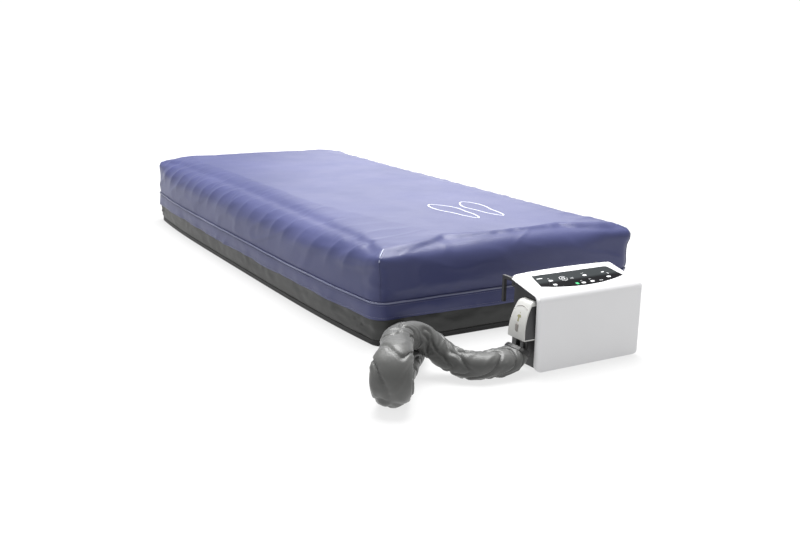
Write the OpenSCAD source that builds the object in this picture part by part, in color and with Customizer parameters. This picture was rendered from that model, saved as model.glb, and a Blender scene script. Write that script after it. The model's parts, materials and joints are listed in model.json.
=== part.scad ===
// Alternating pressure relief mattress with its pump, air hoses and hose sleeve.
// Frame: origin at the middle of the mattress underside, +Y to the head end, +Z up.

/* [Mattress] */
// Width of the cover
mattress_w = 914; // [760:1:1120]
// Length of the cover
mattress_l = 2032; // [1880:1:2200]
// Height of the cover at its top edges
mattress_h = 254; // [215:1:305]
// Rise of the top from its edges to its middle
crown_h = 16; // [4:1:24]
// Radius of the cover's corners in plan
corner_r = 40; // [30:1:60]
// Radius of the cover's top edges
edge_r = 58; // [40:1:70]
// Thickness of the cover's fabric and its lining
cover_t = 2; // [1:0.5:3]
// Height of the seam where the top cover ends
seam_z = 127; // [115:1:140]
// Depth of the flap that hides the zip
flap_h = 49; // [30:1:55]
// Thickness of the zip flap
flap_t = 1.5; // [1:0.5:2]
// Clear space behind the zip flap
flap_gap = 7; // [6.5:0.5:10]
// Height that the tough base fabric wraps up
base_wrap_h = 28; // [20:1:30]
// Thickness of the foam in the base
foam_t = 50; // [47:1:65]

/* [Air cells] */
// Number of air cells, every second one on the other air line
cell_count = 20; // [16:2:22]
// Space between two air cells
cell_gap = 2.6; // [1:0.1:4]
// Wall of an air cell
cell_wall = 0.8; // [0.5:0.1:1.2]
// Space between a cell's end and the cover's side wall
cell_end_gap = 26; // [24:1:34]
// Outer radius of an air line inside the mattress
line_r = 6; // [5:0.5:7]
// Bore radius of an air line
line_bore_r = 4.2; // [3:0.1:4.5]

/* [Pump] */
// Width of the pump
pump_w = 355; // [290:1:420]
// Depth of the pump at its sides
pump_d = 122; // [112:1:150]
// Height of the top at the pump's back
pump_h = 237; // [228:1:262]
// Slope of the top
top_slope = 13; // [8:1:16]
// Radius of the shoulder between the front and the top
shoulder_r = 28; // [20:1:34]
// Wall of the white shell
shell_t = 3.5; // [2.5:0.5:4]
// How far the dark side panels sit back from the shell's sides
side_recess = 12; // [10:0.5:16]
// Gap between the pump and the foot end of the mattress
pump_gap = 243; // [220:1:300]
// How far the pump's middle is off the mattress's middle line
pump_offset = -18.5; // [-40:0.5:40]

/* [Air connector] */
// Distance between the two air ports
port_pitch = 32; // [28:1:36]
// Height of the air ports
port_z = 150; // [140:1:158]
// Outer radius of a nozzle
nozzle_r = 6; // [5:0.25:6.5]
// Radial clearance of a nozzle in its port
nozzle_clearance = 0.05; // [0.02:0.01:0.1]

/* [Hanging hooks] */
// Reach of a hook behind the pump
hook_reach = 46; // [35:1:60]
// Drop of a hook
hook_drop = 73; // [50:1:90]
// Thickness of a hook
hook_t = 9; // [7:0.5:11]

/* [Controls] */
// Length of a panel key
key_l = 13; // [10:0.5:15]
// Width of a panel key
key_w = 7.5; // [6:0.5:9]
// Gap round a panel key
key_gap = 0.4; // [0.3:0.1:0.6]

/* [Hidden] */
$fn = 48;

// Colours
blue = [0.23, 0.25, 0.47];
grey_fabric = [0.3, 0.3, 0.3];
black = [0.1, 0.1, 0.1];
pump_white = [0.93, 0.93, 0.93];
pump_grey = [0.25, 0.25, 0.26];

// A clear gap wide enough that two soft or moulded faces never touch
clear_gap = 0.5;

// Base and zip, measured inwards from the cover's outside
base_inset = flap_t + flap_gap;
base_half_w = mattress_w / 2 - base_inset;
base_half_l = mattress_l / 2 - base_inset;
wall_inner_w = base_half_w - cover_t;
wall_inner_l = base_half_l - cover_t;
flap_low_z = seam_z - flap_h;
ledge_t = 2;
zip_low_z = seam_z - 15;
teeth_z = seam_z - 9;
teeth_h = 4;
teeth_t = 2;

// Foam, sheet and cells, from the bottom up
foam_top_z = cover_t + foam_t;
sheet_t = 1;
cell_low_z = foam_top_z + sheet_t;
cell_edge_z = mattress_h - cover_t - 3;
cell_pitch = 2 * (wall_inner_l - 1 + cell_gap / 2) / cell_count;
cell_w = cell_pitch - cell_gap;
cell_half_l = wall_inner_w - cell_end_gap;
cell_round_r = min(45, cell_w / 2 - 3);
cell_top_z = cell_edge_z + crown_h;
function cell_y(i) = (i - (cell_count - 1) / 2) * cell_pitch;

// Air lines beside the cells, and the links in the foam's foot and head ends
line_x = wall_inner_w - line_r - 5;
inner_corner_r = corner_r - base_inset - cover_t;
riser_reach = inner_corner_r - line_r - 1.5;
riser_side = line_x - wall_inner_w + inner_corner_r;
riser_back = sqrt(max(0, riser_reach * riser_reach - riser_side * riser_side));
riser_y = -wall_inner_l + inner_corner_r - riser_back;
line_end_y = riser_y + line_r + 2;
groove_d = wall_inner_l + riser_y + line_r + 2;
line_z = cell_low_z + line_r + 8;
spigot_r = 3.5;
spigot_bore_r = 2;
link_z = foam_top_z - line_r - 1;
port_x = base_half_w - 60.5;
port_half = 11;

// Pump, in its own frame: x from its middle, y from its front, z from the floor
pump_front_y = -mattress_l / 2 - pump_gap - pump_d;
foot_h = 5;
back_bow = 8;
chassis_gap = 0.2;
chassis_t = 2.5;
chassis_half_w = pump_w / 2 - side_recess;
chassis_inset = shell_t + chassis_gap;
chassis_depth = pump_d - 5;
rear_t = 3;
top_z0 = pump_h - pump_d * tan(top_slope);
plan_corner_r = 10;
top_corner_r = 20;
low_corner_r = 20;
floor_low_z = foot_h + chassis_inset;
floor_z = floor_low_z + chassis_t;
lip_w = 10;

// Control panel, on the sloping top
panel_t = 1.2;
panel_x = 4;
panel_back_s = 107;
panel_back_half_w = 131;
panel_front_half_w = 141;
panel_side_s = 48;
panel_bow = 23;
key_rise = 0.5;
key_depth = 3;
key_travel = 0.6;
board_drop = 5;
board_t = 1.6;
board_l = 250;
board_w = 70;

// Air connector on the pump's left side
port_y = 46;
socket_depth = 26;
nozzle_bore_r = 4.2;
nozzle_low_z = 94;
nozzle_x = -pump_w / 2 - 13;
nozzle_in = 20;
hood_t = 2.5;
button_z = 121;

// Mains inlet and switch on the pump's right side
inlet_y = 62;
inlet_z = 58;
switch_z = 112;

// Hooks
hook_y = pump_d + 9;
hook_x = chassis_half_w - 6;
hook_z = pump_h - 20;
hook_pin_r = 2;

hose_r = nozzle_r;
hose_bore_r = nozzle_bore_r;

// Routes of the two air hoses, drawn for the first and last places below and then fitted to the real ones
drawn_port = [-388, -1007.5, 45];
drawn_nozzles = [-209, -1335, 94];
hose_a_drawn = [
  [-399, -1022, 45], [-399, -1032, 45], [-400, -1046, 41], [-404, -1076, 29], [-414, -1109, 18],
  [-435, -1145, 15], [-463, -1180, 15], [-495, -1218, 15], [-528, -1259, 15], [-563, -1302, 15],
  [-597, -1343, 15], [-628, -1379, 17], [-650, -1407, 29], [-662, -1423, 50], [-666, -1428, 76],
  [-662, -1423, 102], [-650, -1407, 122], [-628, -1380, 132], [-598, -1340, 127], [-568, -1296, 116],
  [-535, -1256, 105], [-498, -1232, 97], [-460, -1228, 86], [-428, -1243, 66], [-403, -1267, 42],
  [-378, -1293, 24], [-349, -1315, 16], [-316, -1325, 16], [-282, -1325, 17], [-254, -1322, 22],
  [-232, -1320, 32], [-217, -1319, 46], [-210.5, -1319, 62], [-209, -1319, 80], [-209, -1319, 94]
];
hose_b_drawn = [
  [-377, -1022, 45], [-377, -1034, 45], [-378, -1048, 41], [-384, -1080, 29], [-398, -1117, 18],
  [-421, -1155, 15], [-449, -1192, 15], [-481, -1230, 15], [-514, -1271, 15], [-549, -1313, 15],
  [-583, -1354, 15], [-614, -1391, 17], [-636, -1417, 29], [-648, -1433, 50], [-652, -1438, 76],
  [-648, -1433, 102], [-636, -1417, 122], [-614, -1390, 132], [-583, -1350, 127], [-554, -1306, 116],
  [-523, -1270, 105], [-492, -1248, 97], [-462, -1246, 86], [-438, -1257, 66], [-415, -1279, 42],
  [-390, -1307, 24], [-357, -1333, 16], [-320, -1347, 16], [-282, -1351, 17], [-254, -1351, 22],
  [-232, -1351, 32], [-217, -1351, 46], [-210.5, -1351, 62], [-209, -1351, 80], [-209, -1351, 94]
];
// Route of the sleeve round them, each point with the sleeve's half width and half height
sleeve_drawn = [
  [-388, -1008, 45, 34, 26], [-388, -1036, 45, 34, 26], [-392, -1076, 42, 36, 30],
  [-404, -1112, 39, 38, 34], [-427, -1150, 38, 38, 35], [-456, -1186, 37, 38, 35],
  [-488, -1224, 37, 38, 35], [-521, -1265, 37, 38, 35], [-556, -1307, 37, 38, 35],
  [-590, -1348, 37, 38, 35], [-620, -1384, 38, 42, 35], [-635, -1402, 44, 46, 35],
  [-645, -1414, 58, 50, 35], [-649, -1419, 76, 52, 35], [-645, -1414, 95, 50, 35],
  [-635, -1402, 110, 46, 35], [-619, -1383, 116, 42, 36], [-590, -1343, 116, 40, 36],
  [-560, -1300, 115, 39, 36], [-529, -1263, 113, 38, 35], [-495, -1240, 110, 38, 35],
  [-461, -1236, 103, 38, 35], [-433, -1248, 84, 38, 35], [-409, -1272, 60, 38, 35],
  [-384, -1300, 44, 38, 35], [-353, -1325, 38, 40, 35], [-318, -1337, 37, 43, 35],
  [-282, -1339, 37, 44, 34], [-252, -1337, 41, 43, 32], [-229, -1336, 53, 42, 27],
  [-214, -1335, 72, 42, 20]
];
sleeve_t = 1.5;
hose_sides = 10;
sleeve_sides = 14;

// ---------- Points and outlines ----------

// Points of an arc about c, from angle a to angle b
function arc(c, r, a, b, n) = [for (i = [0:n]) let (t = a + (b - a) * i / n) c + r * [cos(t), sin(t)]];

// A rectangle of half sizes w and l whose corners have radius r
function round_rect(w, l, r, n = 6) = concat(
  arc([w - r, l - r], r, 0, 90, n), arc([r - w, l - r], r, 90, 180, n),
  arc([r - w, r - l], r, 180, 270, n), arc([w - r, r - l], r, 270, 360, n));

// Upright outline from height low, with round top edges of radius r at height edge and a crown above them
function crowned(half, low, edge, r, crown, n = 8) = concat(
  [[-half, low], [half, low]],
  arc([half - r, edge - r], r, 0, 90, n),
  [for (i = [1:n - 1]) let (u = 1 - 2 * i / n) [u * (half - r), edge + crown * (1 - u * u)]],
  arc([r - half, edge - r], r, 90, 180, n));

// A stadium of length l and width w, along x
module slot(l, w) {
  square([l - w, w], center = true);
  for (side = [-1, 1]) translate([side * (l - w) / 2, 0]) circle(w / 2);
}

module plan(inset) polygon(round_rect(mattress_w / 2 - inset, mattress_l / 2 - inset, corner_r - inset));

// A wall of thickness t round the mattress, between two heights
module band(inset, t, low, high) translate([0, 0, low]) linear_extrude(high - low) difference() {
  plan(inset);
  plan(inset + t);
}

// Extrudes an outline drawn in x and z along y, or one drawn in y and z along x
module along_y(l) rotate([90, 0, 0]) linear_extrude(l, center = true) children();
module along_x(l) rotate([90, 0, 90]) linear_extrude(l, center = true) children();

// A pipe with square bends through the points, hollow, open at both ends
module pipe(points, r, bore) {
  module run(radius, past) {
    for (i = [0:len(points) - 2]) {
      a = points[i];
      b = points[i + 1];
      d = (b - a) / norm(b - a);
      first = i == 0 ? past : 0;
      last = i == len(points) - 2 ? past : 0;
      translate(a - d * first) rotate([0, acos(d.z), atan2(d.y, d.x)])
        cylinder(r = radius, h = norm(b - a) + first + last);
      if (i > 0) translate(a) sphere(radius);
    }
  }
  difference() {
    run(r, 0);
    run(bore, 1);
  }
}

// ---------- Tubes swept along a route ----------

function unit(v) = v / norm(v);
function place(p) = [p[0], p[1], p[2]];
function heading(route, i) =
  unit(place(route[min(i + 1, len(route) - 1)]) - place(route[max(i - 1, 0)]));
// A side direction at each point, level where the route runs level and carried along where it climbs
function sides(route, from, i = 0) =
  let (t = heading(route, i), flat = [-t.y, t.x, 0], turned = from - (from * t) * t,
    s = unit(norm(flat) < 0.35 ? turned : flat * sign(flat * from)))
  i == len(route) - 1 ? [s] : concat([s], sides(route, s, i + 1));
// Moves a drawn route's start to the mattress port and its end to the nozzles; side tells the hoses apart
function fitted(route, side) =
  let (n = len(route) - 1,
    start = [-port_x, -base_half_l, link_z] - drawn_port,
    pitch = side * (port_pitch / 2 - 16),
    end = [pump_offset + nozzle_x, pump_front_y + port_y + pitch, nozzle_low_z] - drawn_nozzles)
  [for (i = [0:n]) let (u = min(1, max(0, (i - 4) / (n - 9))), p = route[i])
    concat(place(p) + start * (1 - u) + end * u, len(p) > 3 ? [p[3], p[4]] : [])];
// Ring i of a tube, with the half sizes w and h
function ring(route, side, i, w, h, n) =
  let (t = heading(route, i), s = side[i], u = cross(t, s))
  [for (k = [0:n - 1]) let (a = 360 * (k + 0.5) / n) place(route[i]) + w * cos(a) * s + h * sin(a) * u];

// A hollow tube with n sides; outer and inner list the half sizes at each point
module tube(route, outer, inner, n, from = [1, 0, 0]) {
  m = len(route);
  side = sides(route, from);
  rings = concat(
    [for (i = [0:m - 1]) each ring(route, side, i, outer[i][0], outer[i][1], n)],
    [for (i = [0:m - 1]) each ring(route, side, i, inner[i][0], inner[i][1], n)]);
  far = m * n;
  faces = concat(
    [for (i = [0:m - 2], k = [0:n - 1]) let (k2 = (k + 1) % n)
      each [[i * n + k, (i + 1) * n + k, (i + 1) * n + k2], [i * n + k, (i + 1) * n + k2, i * n + k2]]],
    [for (i = [0:m - 2], k = [0:n - 1]) let (k2 = (k + 1) % n)
      each [[far + i * n + k, far + (i + 1) * n + k2, far + (i + 1) * n + k],
        [far + i * n + k, far + i * n + k2, far + (i + 1) * n + k2]]],
    [for (k = [0:n - 1]) let (k2 = (k + 1) % n)
      each [[k, k2, far + k2], [k, far + k2, far + k]]],
    [for (k = [0:n - 1]) let (k2 = (k + 1) % n, e = (m - 1) * n)
      each [[e + k, far + e + k2, e + k2], [e + k, far + e + k, far + e + k2]]]);
  polyhedron(rings, faces);
}

// ---------- Mattress ----------

module base_panel() color(black) {
  linear_extrude(cover_t) plan(base_inset);
  band(base_inset, cover_t, cover_t, base_wrap_h);
}

// Two tube holes of the air port at the foot end, and of the valve at the head end
module port_holes(r, l) for (side = [-1, 1]) for (x = [-port_half, port_half])
  translate([side * port_x + x, side * base_half_l, link_z]) rotate([90, 0, 0])
    cylinder(r = r, h = l, center = true);

module base_cover() color(grey_fabric) difference() {
  band(base_inset, cover_t, base_wrap_h, zip_low_z);
  port_holes(line_r, 20);
  translate([port_x, base_half_l, link_z]) rotate([90, 0, 0])
    cylinder(r = knob_boss_r, h = 20, center = true);
}

module zip_tape() color(black) {
  band(base_inset, cover_t, zip_low_z, seam_z - ledge_t);
  band(flap_t, base_inset + cover_t - flap_t, seam_z - ledge_t, seam_z);
}

module zip_teeth() color([0.3, 0.3, 0.32]) band(base_inset - teeth_t, teeth_t, teeth_z, teeth_z + teeth_h);

slider_l = 12;
slider_y = -wall_inner_l + 60;
slider_gap = 0.3;
module zip_slider() color([0.6, 0.6, 0.6]) {
  outer_x = base_half_w + flap_gap - 1.2;
  difference() {
    translate([base_half_w + slider_gap, slider_y, teeth_z - 3])
      cube([outer_x - base_half_w - slider_gap, slider_l, teeth_h + 6]);
    translate([base_half_w - 1, slider_y - 1, teeth_z - slider_gap])
      cube([1 + teeth_t + slider_gap, slider_l + 2, teeth_h + 2 * slider_gap]);
  }
  translate([outer_x - 1.5, slider_y + 3, teeth_z - 25]) cube([1.5, 6, 22]);
}

module zip_flap() color(blue) band(0, flap_t, flap_low_z, seam_z);

// The space inside the top cover's outline, drawn in by inset
module cover_form(inset) intersection() {
  translate([0, 0, seam_z]) linear_extrude(mattress_h) plan(inset);
  along_y(mattress_l + 2)
    polygon(crowned(mattress_w / 2 - inset, 0, mattress_h - inset, edge_r - inset, crown_h));
  along_x(mattress_w + 2)
    polygon(crowned(mattress_l / 2 - inset, 0, mattress_h + crown_h - inset, edge_r - inset, 0));
}

module top_cover() color(blue) difference() {
  cover_form(0);
  cover_form(cover_t);
}

// A groove across each end makes room for the air links
module foam_base() color([0.85, 0.83, 0.7]) difference() {
  translate([0, 0, cover_t]) linear_extrude(foam_t) plan(base_inset + cover_t + 2);
  for (turn = [0, 180]) rotate([0, 0, turn]) {
    translate([-wall_inner_w - 1, -wall_inner_l - 1, link_z - line_r - 2])
      cube([2 * wall_inner_w + 2, groove_d + 1, foam_t]);
  }
}

module cell_sheet() color([0.8, 0.8, 0.82]) translate([0, 0, foam_top_z]) linear_extrude(sheet_t)
  square([2 * cell_half_l, 2 * (wall_inner_l - groove_d)], center = true);

module cell_form(i, inset) translate([0, cell_y(i), 0]) intersection() {
  along_y(cell_w) polygon(crowned(cell_half_l - inset, cell_low_z + inset, cell_edge_z - inset,
    edge_r - inset, crown_h - 2, 6));
  translate([0, 0, (cell_low_z + cell_top_z) / 2]) along_x(2 * mattress_w)
    polygon(round_rect(cell_w / 2 - inset, (cell_top_z - cell_low_z) / 2 - inset, cell_round_r - inset));
  translate([0, -cell_y(i), 0]) linear_extrude(2 * mattress_h) plan(base_inset + cover_t + 1 + inset);
}

module air_cell(i, side) difference() {
  cell_form(i, 0);
  cell_form(i, cell_wall);
  translate([side * cell_half_l, cell_y(i), line_z]) rotate([0, 90, 0])
    cylinder(r = spigot_r, h = 4, center = true);
}

module air_cells_a() color([0.75, 0.77, 0.8]) for (i = [0:2:cell_count - 1]) air_cell(i, -1);
module air_cells_b() color([0.65, 0.68, 0.72]) for (i = [1:2:cell_count - 1]) air_cell(i, 1);

// Line A runs on the left and feeds the first cell; line B runs on the right
module air_line(side, first) difference() {
  pipe([[side * line_x, line_end_y, line_z], [side * line_x, -line_end_y, line_z]], line_r, line_bore_r);
  for (i = [first:2:cell_count - 1]) translate([side * line_x, cell_y(i), line_z])
    rotate([0, -side * 90, 0]) cylinder(r = spigot_r, h = line_r + 1);
}
module air_line_a() color([0.8, 0.8, 0.8]) air_line(-1, 0);
module air_line_b() color([0.8, 0.8, 0.8]) air_line(1, 1);

spigot_in = 2;
module cell_spigots() color([0.9, 0.9, 0.9]) for (i = [0:cell_count - 1]) {
  side = i % 2 == 0 ? -1 : 1;
  translate([side * (line_x - sqrt(line_bore_r * line_bore_r - spigot_r * spigot_r)), cell_y(i), line_z])
    rotate([0, -side * 90, 0]) difference() {
      l = line_x - cell_half_l + spigot_in;
      cylinder(r = spigot_r, h = l);
      translate([0, 0, -1]) cylinder(r = spigot_bore_r, h = l + 2);
    }
}

// Links from the two port tubes to line A, near at hand, and to line B, across the foam's groove
module links() {
  start_y = -wall_inner_l + 6;
  for (side = [-1, 1]) {
    start_x = -port_x + side * port_half;
    pipe([[start_x, start_y, link_z], [start_x, riser_y, link_z], [side * line_x, riser_y, link_z],
      [side * line_x, riser_y, line_z], [side * line_x, line_end_y, line_z]], line_r, line_bore_r);
  }
}
module inlet_links() color([0.7, 0.7, 0.7]) links();
module cpr_links() color([0.7, 0.7, 0.7]) rotate([0, 0, 180]) links();

// Flange outside the base wall with two tubes through it
flange_t = 3;
flange_half_w = 25;
flange_half_h = 12;
nipple_l = 14.5;
module hose_port() color(pump_grey) {
  difference() {
    union() {
      translate([-port_x, -base_half_l - flange_t / 2, link_z]) along_y(flange_t)
        polygon(round_rect(flange_half_w, flange_half_h, 8));
      for (x = [-port_half, port_half]) translate([-port_x + x, -base_half_l - nipple_l, link_z])
        rotate([-90, 0, 0]) cylinder(r = line_r, h = nipple_l + cover_t + 6);
    }
    for (x = [-port_half, port_half]) translate([-port_x + x, -base_half_l - nipple_l - 1, link_z])
      rotate([-90, 0, 0]) cylinder(r = line_bore_r, h = nipple_l + cover_t + 8);
  }
}

knob_r = 12;
knob_shaft_r = 3;
knob_boss_r = 4.6;
module cpr_valve() color([0.75, 0.12, 0.1]) difference() {
  union() {
    translate([port_x, base_half_l + 1.25, link_z]) along_y(2.5)
      polygon(round_rect(flange_half_w, flange_half_h, 8));
    for (x = [-port_half, port_half]) translate([port_x + x, wall_inner_l - 6, link_z])
      rotate([-90, 0, 0]) cylinder(r = line_r, h = 8.5);
    translate([port_x, base_half_l, link_z]) rotate([90, 0, 0]) cylinder(r = knob_boss_r, h = 12);
    translate([port_x, wall_inner_l - 1.5, link_z]) cube([2 * port_half, 3, 7], center = true);
  }
  for (x = [-port_half, port_half]) translate([port_x + x, wall_inner_l - 7, link_z])
    rotate([-90, 0, 0]) cylinder(r = line_bore_r, h = 8);
  translate([port_x, base_half_l + 3, link_z]) rotate([90, 0, 0]) cylinder(r = knob_shaft_r + 0.05, h = 13);
}

module cpr_knob() color([0.8, 0.15, 0.12]) translate([port_x, base_half_l + 2.7, link_z]) {
  rotate([-90, 0, 0]) cylinder(r = knob_r, h = 2);
  translate([-knob_r + 2, 1.9, -2]) cube([2 * knob_r - 4, 3.5, 4]);
  rotate([90, 0, 0]) cylinder(r = knob_shaft_r, h = 11);
}

// ---------- Pump forms ----------

module in_pump() translate([pump_offset, pump_front_y, 0]) children();

function top_z(y) = top_z0 + y * tan(top_slope);
// Side outline of the pump, drawn in by inset: back, bottom, front, round shoulder, sloping top
function side_outline(inset) =
  let (back = pump_d + back_bow + 10, r = shoulder_r, cz = top_z(r) - r / cos(top_slope))
  concat([[back, foot_h], [inset, foot_h]], arc([r, cz], r - inset, 180, 90 + top_slope, 12),
    [[back, top_z(back) - inset / cos(top_slope)]]);

// Plan outline with a bowed back edge
function pump_plan(inset) =
  let (w = pump_w / 2 - inset, d = pump_d)
  concat(arc([plan_corner_r - pump_w / 2, plan_corner_r], plan_corner_r - inset, 180, 270, 6),
    arc([pump_w / 2 - plan_corner_r, plan_corner_r], plan_corner_r - inset, 270, 360, 6),
    [for (i = [0:12]) let (u = 1 - i / 6) [u * w, d + 2 * inset + back_bow * (1 - u * u)]]);

// A prism that follows the sloping top and rounds its side edges
module top_prism(inset) translate([0, 0, top_z0]) rotate([top_slope, 0, 0]) along_y(4 * pump_d)
  polygon(concat([[-pump_w / 2 + inset, -2 * pump_h], [pump_w / 2 - inset, -2 * pump_h]],
    arc([pump_w / 2 - top_corner_r, -top_corner_r], top_corner_r - inset, 0, 90, 8),
    arc([top_corner_r - pump_w / 2, -top_corner_r], top_corner_r - inset, 90, 180, 8)));

// A prism that rounds the bottom corners of the front
module front_prism(inset) along_y(4 * pump_d) polygon(concat(
  arc([low_corner_r - pump_w / 2, foot_h + low_corner_r], low_corner_r - inset, 180, 270, 6),
  arc([pump_w / 2 - low_corner_r, foot_h + low_corner_r], low_corner_r - inset, 270, 360, 6),
  [[pump_w / 2 - inset, 2 * pump_h], [inset - pump_w / 2, 2 * pump_h]]));

module pump_form(inset) intersection() {
  along_x(pump_w - 2 * inset) polygon(side_outline(inset));
  linear_extrude(2 * pump_h) polygon(pump_plan(inset));
  top_prism(inset);
  front_prism(inset);
}

// Places children on the sloping top: x across, y up the slope, z out of it
module on_top() translate([0, 0, top_z0]) rotate([top_slope, 0, 0]) children();

module panel_outline(inset = 0) {
  w = panel_front_half_w - inset;
  b = panel_back_half_w - inset;
  translate([panel_x, 0]) polygon(concat(
    arc([b - 8, panel_back_s - inset - 8], 8, 10, 90, 4),
    arc([8 - b, panel_back_s - inset - 8], 8, 90, 170, 4),
    [for (i = [0:12]) let (u = i / 6 - 1) [u * w, panel_side_s - panel_bow * (1 - u * u) + inset]]));
}

// x and distance up the slope of each key
key_mute = [-88, 70];
key_lock = [-90, 48];
key_mode = [30, 74];
key_static = [-2, 38];
key_firmer = [29, 39];
key_softer = [95, 50];
key_places = [key_mute, key_lock, key_mode, key_static, key_firmer, key_softer];
light_place = [-23, 39];
light_size = 9;

module key_wells(extra) for (p = key_places)
  translate([p.x, p.y]) slot(key_l + 2 * extra, key_w + 2 * extra);

module pump_shell() color(pump_white) in_pump() difference() {
  pump_form(0);
  pump_form(shell_t);
  translate([-pump_w, shell_t + lip_w, 0]) cube([2 * pump_w, 2 * pump_d, foot_h + shell_t]);
  for (side = [-1, 1]) translate([side * (pump_w / 2), 0, 0]) along_x(2 * (side_recess + 4))
    polygon(side_outline(lip_w));
  on_top() {
    translate([0, 0, -panel_t]) linear_extrude(10) panel_outline();
    translate([0, 0, -10]) linear_extrude(20) key_wells(key_gap);
    translate([light_place.x, light_place.y, -5]) cube([light_size, light_size, 20], center = true);
  }
}

module control_panel() color(black) in_pump() on_top() difference() {
  translate([0, 0, -panel_t]) linear_extrude(panel_t + 0.2) panel_outline(0.15);
  translate([0, 0, -5]) linear_extrude(10) key_wells(key_gap);
  translate([light_place.x, light_place.y, 0]) cube([light_size, light_size, 10], center = true);
}

module key(p) color([0.85, 0.85, 0.85]) in_pump() on_top()
  translate([p.x, p.y, -key_depth]) linear_extrude(key_depth + key_rise) slot(key_l, key_w);
module mute_key() key(key_mute);
module lock_key() key(key_lock);
module mode_key() key(key_mode);
module static_key() key(key_static);
module firmer_key() key(key_firmer);
module softer_key() key(key_softer);

module status_light() color([0.1, 0.7, 0.3]) in_pump() on_top()
  translate([light_place.x, light_place.y, 0.1 - 2]) cube([light_size, light_size, 4.4], center = true);

// Board with a low switch under each key
module circuit_board() color([0.1, 0.4, 0.2]) in_pump() on_top() {
  translate([panel_x - board_l / 2, 26, -board_drop - board_t]) cube([board_l, board_w, board_t]);
  for (p = key_places) translate([p.x, p.y, -board_drop])
    cylinder(r = 3, h = board_drop - key_depth - key_travel - 0.2);
}

// The dark inner housing: front, bottom, sides and the top round the board
module chassis_form(inset, past) intersection() {
  along_x(2 * (chassis_half_w - inset)) polygon(side_outline(chassis_inset + inset));
  top_prism(chassis_inset + inset);
  front_prism(chassis_inset + inset);
  translate([-pump_w, 0, 0]) cube([2 * pump_w, chassis_depth + past, 2 * pump_h]);
}

socket_half_w = port_pitch / 2 + 12;
socket_half_h = 15;
screw_r = 2;
boss_r = 6.5;
boss_l = 12;
boss_x = chassis_half_w - chassis_t + 0.5 - boss_r;
boss_places = [[-boss_x, 24], [boss_x, 24], [-boss_x, pump_h - 40], [boss_x, pump_h - 40]];
module at_bosses(y) for (p = boss_places) translate([p.x, y, p.y]) rotate([-90, 0, 0]) children();

module pump_chassis() color(pump_grey) in_pump() difference() {
  union() {
    difference() {
      chassis_form(0, 0);
      chassis_form(chassis_t, 1);
    }
    at_bosses(chassis_depth - boss_l) cylinder(r = boss_r, h = boss_l);
  }
  at_bosses(chassis_depth - boss_l + 2) cylinder(r = screw_r, h = boss_l);
  on_top() translate([panel_x - board_l / 2 - 3, 23, -20]) cube([board_l + 6, board_w + 6, 30]);
  translate([-chassis_half_w, port_y, port_z])
    cube([20, 2 * socket_half_w, 2 * socket_half_h], center = true);
  translate([chassis_half_w, inlet_y, inlet_z]) cube([20, 28, 40], center = true);
  translate([chassis_half_w, inlet_y, switch_z]) cube([20, 22, 30], center = true);
}

filter_w = 70;
filter_h = 36;
filter_z = 70;
ear_h = 4;
hook_barrel_h = 16;

// Back plate with the filter's opening, air slots and the ears that carry the hooks
module rear_cover() color(pump_grey) in_pump() {
  difference() {
    intersection() {
      translate([-chassis_half_w, chassis_depth, 0]) cube([2 * chassis_half_w, rear_t, 2 * pump_h]);
      along_x(2 * chassis_half_w) polygon(side_outline(chassis_inset));
      top_prism(chassis_inset);
      front_prism(chassis_inset);
    }
    translate([0, chassis_depth, filter_z]) cube([filter_w, 20, filter_h], center = true);
    for (i = [0:7]) translate([-35 + 10 * i, chassis_depth, 135]) cube([4, 20, 40], center = true);
    at_bosses(chassis_depth - 1) cylinder(r = screw_r, h = 10);
  }
  for (side = [-1, 1]) for (z = [-1, 1]) difference() {
    translate([side * hook_x, 0, hook_z + z * (hook_barrel_h / 2 + clear_gap + ear_h / 2)]) {
      translate([0, hook_y, 0]) cylinder(r = 6, h = ear_h, center = true);
      translate([0, (chassis_depth + rear_t + hook_y) / 2, 0])
        cube([12, hook_y - chassis_depth - rear_t, ear_h], center = true);
    }
    translate([side * hook_x, hook_y, 0]) cylinder(r = hook_pin_r, h = 2 * pump_h);
  }
}

// A hook: a barrel on the pin, an arm to the back and a leg down
module hook(side) color(pump_grey) in_pump() translate([side * hook_x, hook_y, hook_z]) difference() {
  union() {
    cylinder(r = 6, h = hook_barrel_h, center = true);
    translate([-hook_t / 2, 0, hook_barrel_h / 2 - hook_t]) cube([hook_t, hook_reach - hook_t, hook_t]);
    translate([-hook_t / 2, hook_reach - hook_t, hook_barrel_h / 2 - hook_drop])
      cube([hook_t, hook_t, hook_drop]);
  }
  cylinder(r = hook_pin_r + 0.05, h = 40, center = true);
}
module hook_left() hook(-1);
module hook_right() hook(1);
module hook_pins() color([0.7, 0.7, 0.7]) in_pump() for (side = [-1, 1])
  translate([side * hook_x, hook_y, hook_z])
    cylinder(r = hook_pin_r, h = hook_barrel_h + 2 * (clear_gap + ear_h), center = true);

module housing_screws() color([0.6, 0.6, 0.6]) in_pump() at_bosses(chassis_depth - 8) {
  cylinder(r = screw_r, h = 8 + rear_t);
  translate([0, 0, 8 + rear_t]) cylinder(r = 3.6, h = 1.8);
}

module pump_feet() color(black) in_pump() for (x = [-1, 1]) for (y = [22, 98])
  translate([x * (chassis_half_w - 22), y, 0]) cylinder(r = 8, h = floor_low_z);

module air_filter() color([0.2, 0.2, 0.2]) in_pump()
  translate([0, chassis_depth, filter_z]) cube([filter_w - 1, 2 * rear_t, filter_h - 1], center = true);
module filter_cover() color(pump_grey) in_pump()
  translate([0, chassis_depth + rear_t + 1.25, filter_z]) difference() {
    cube([filter_w + 8, 2.5, filter_h + 8], center = true);
    for (i = [0:5]) translate([0, 0, -12.5 + 5 * i]) cube([filter_w - 10, 5, 2.5], center = true);
  }

// ---------- Inside the pump ----------

comp_y = 62;
comp_w = 116;
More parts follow.
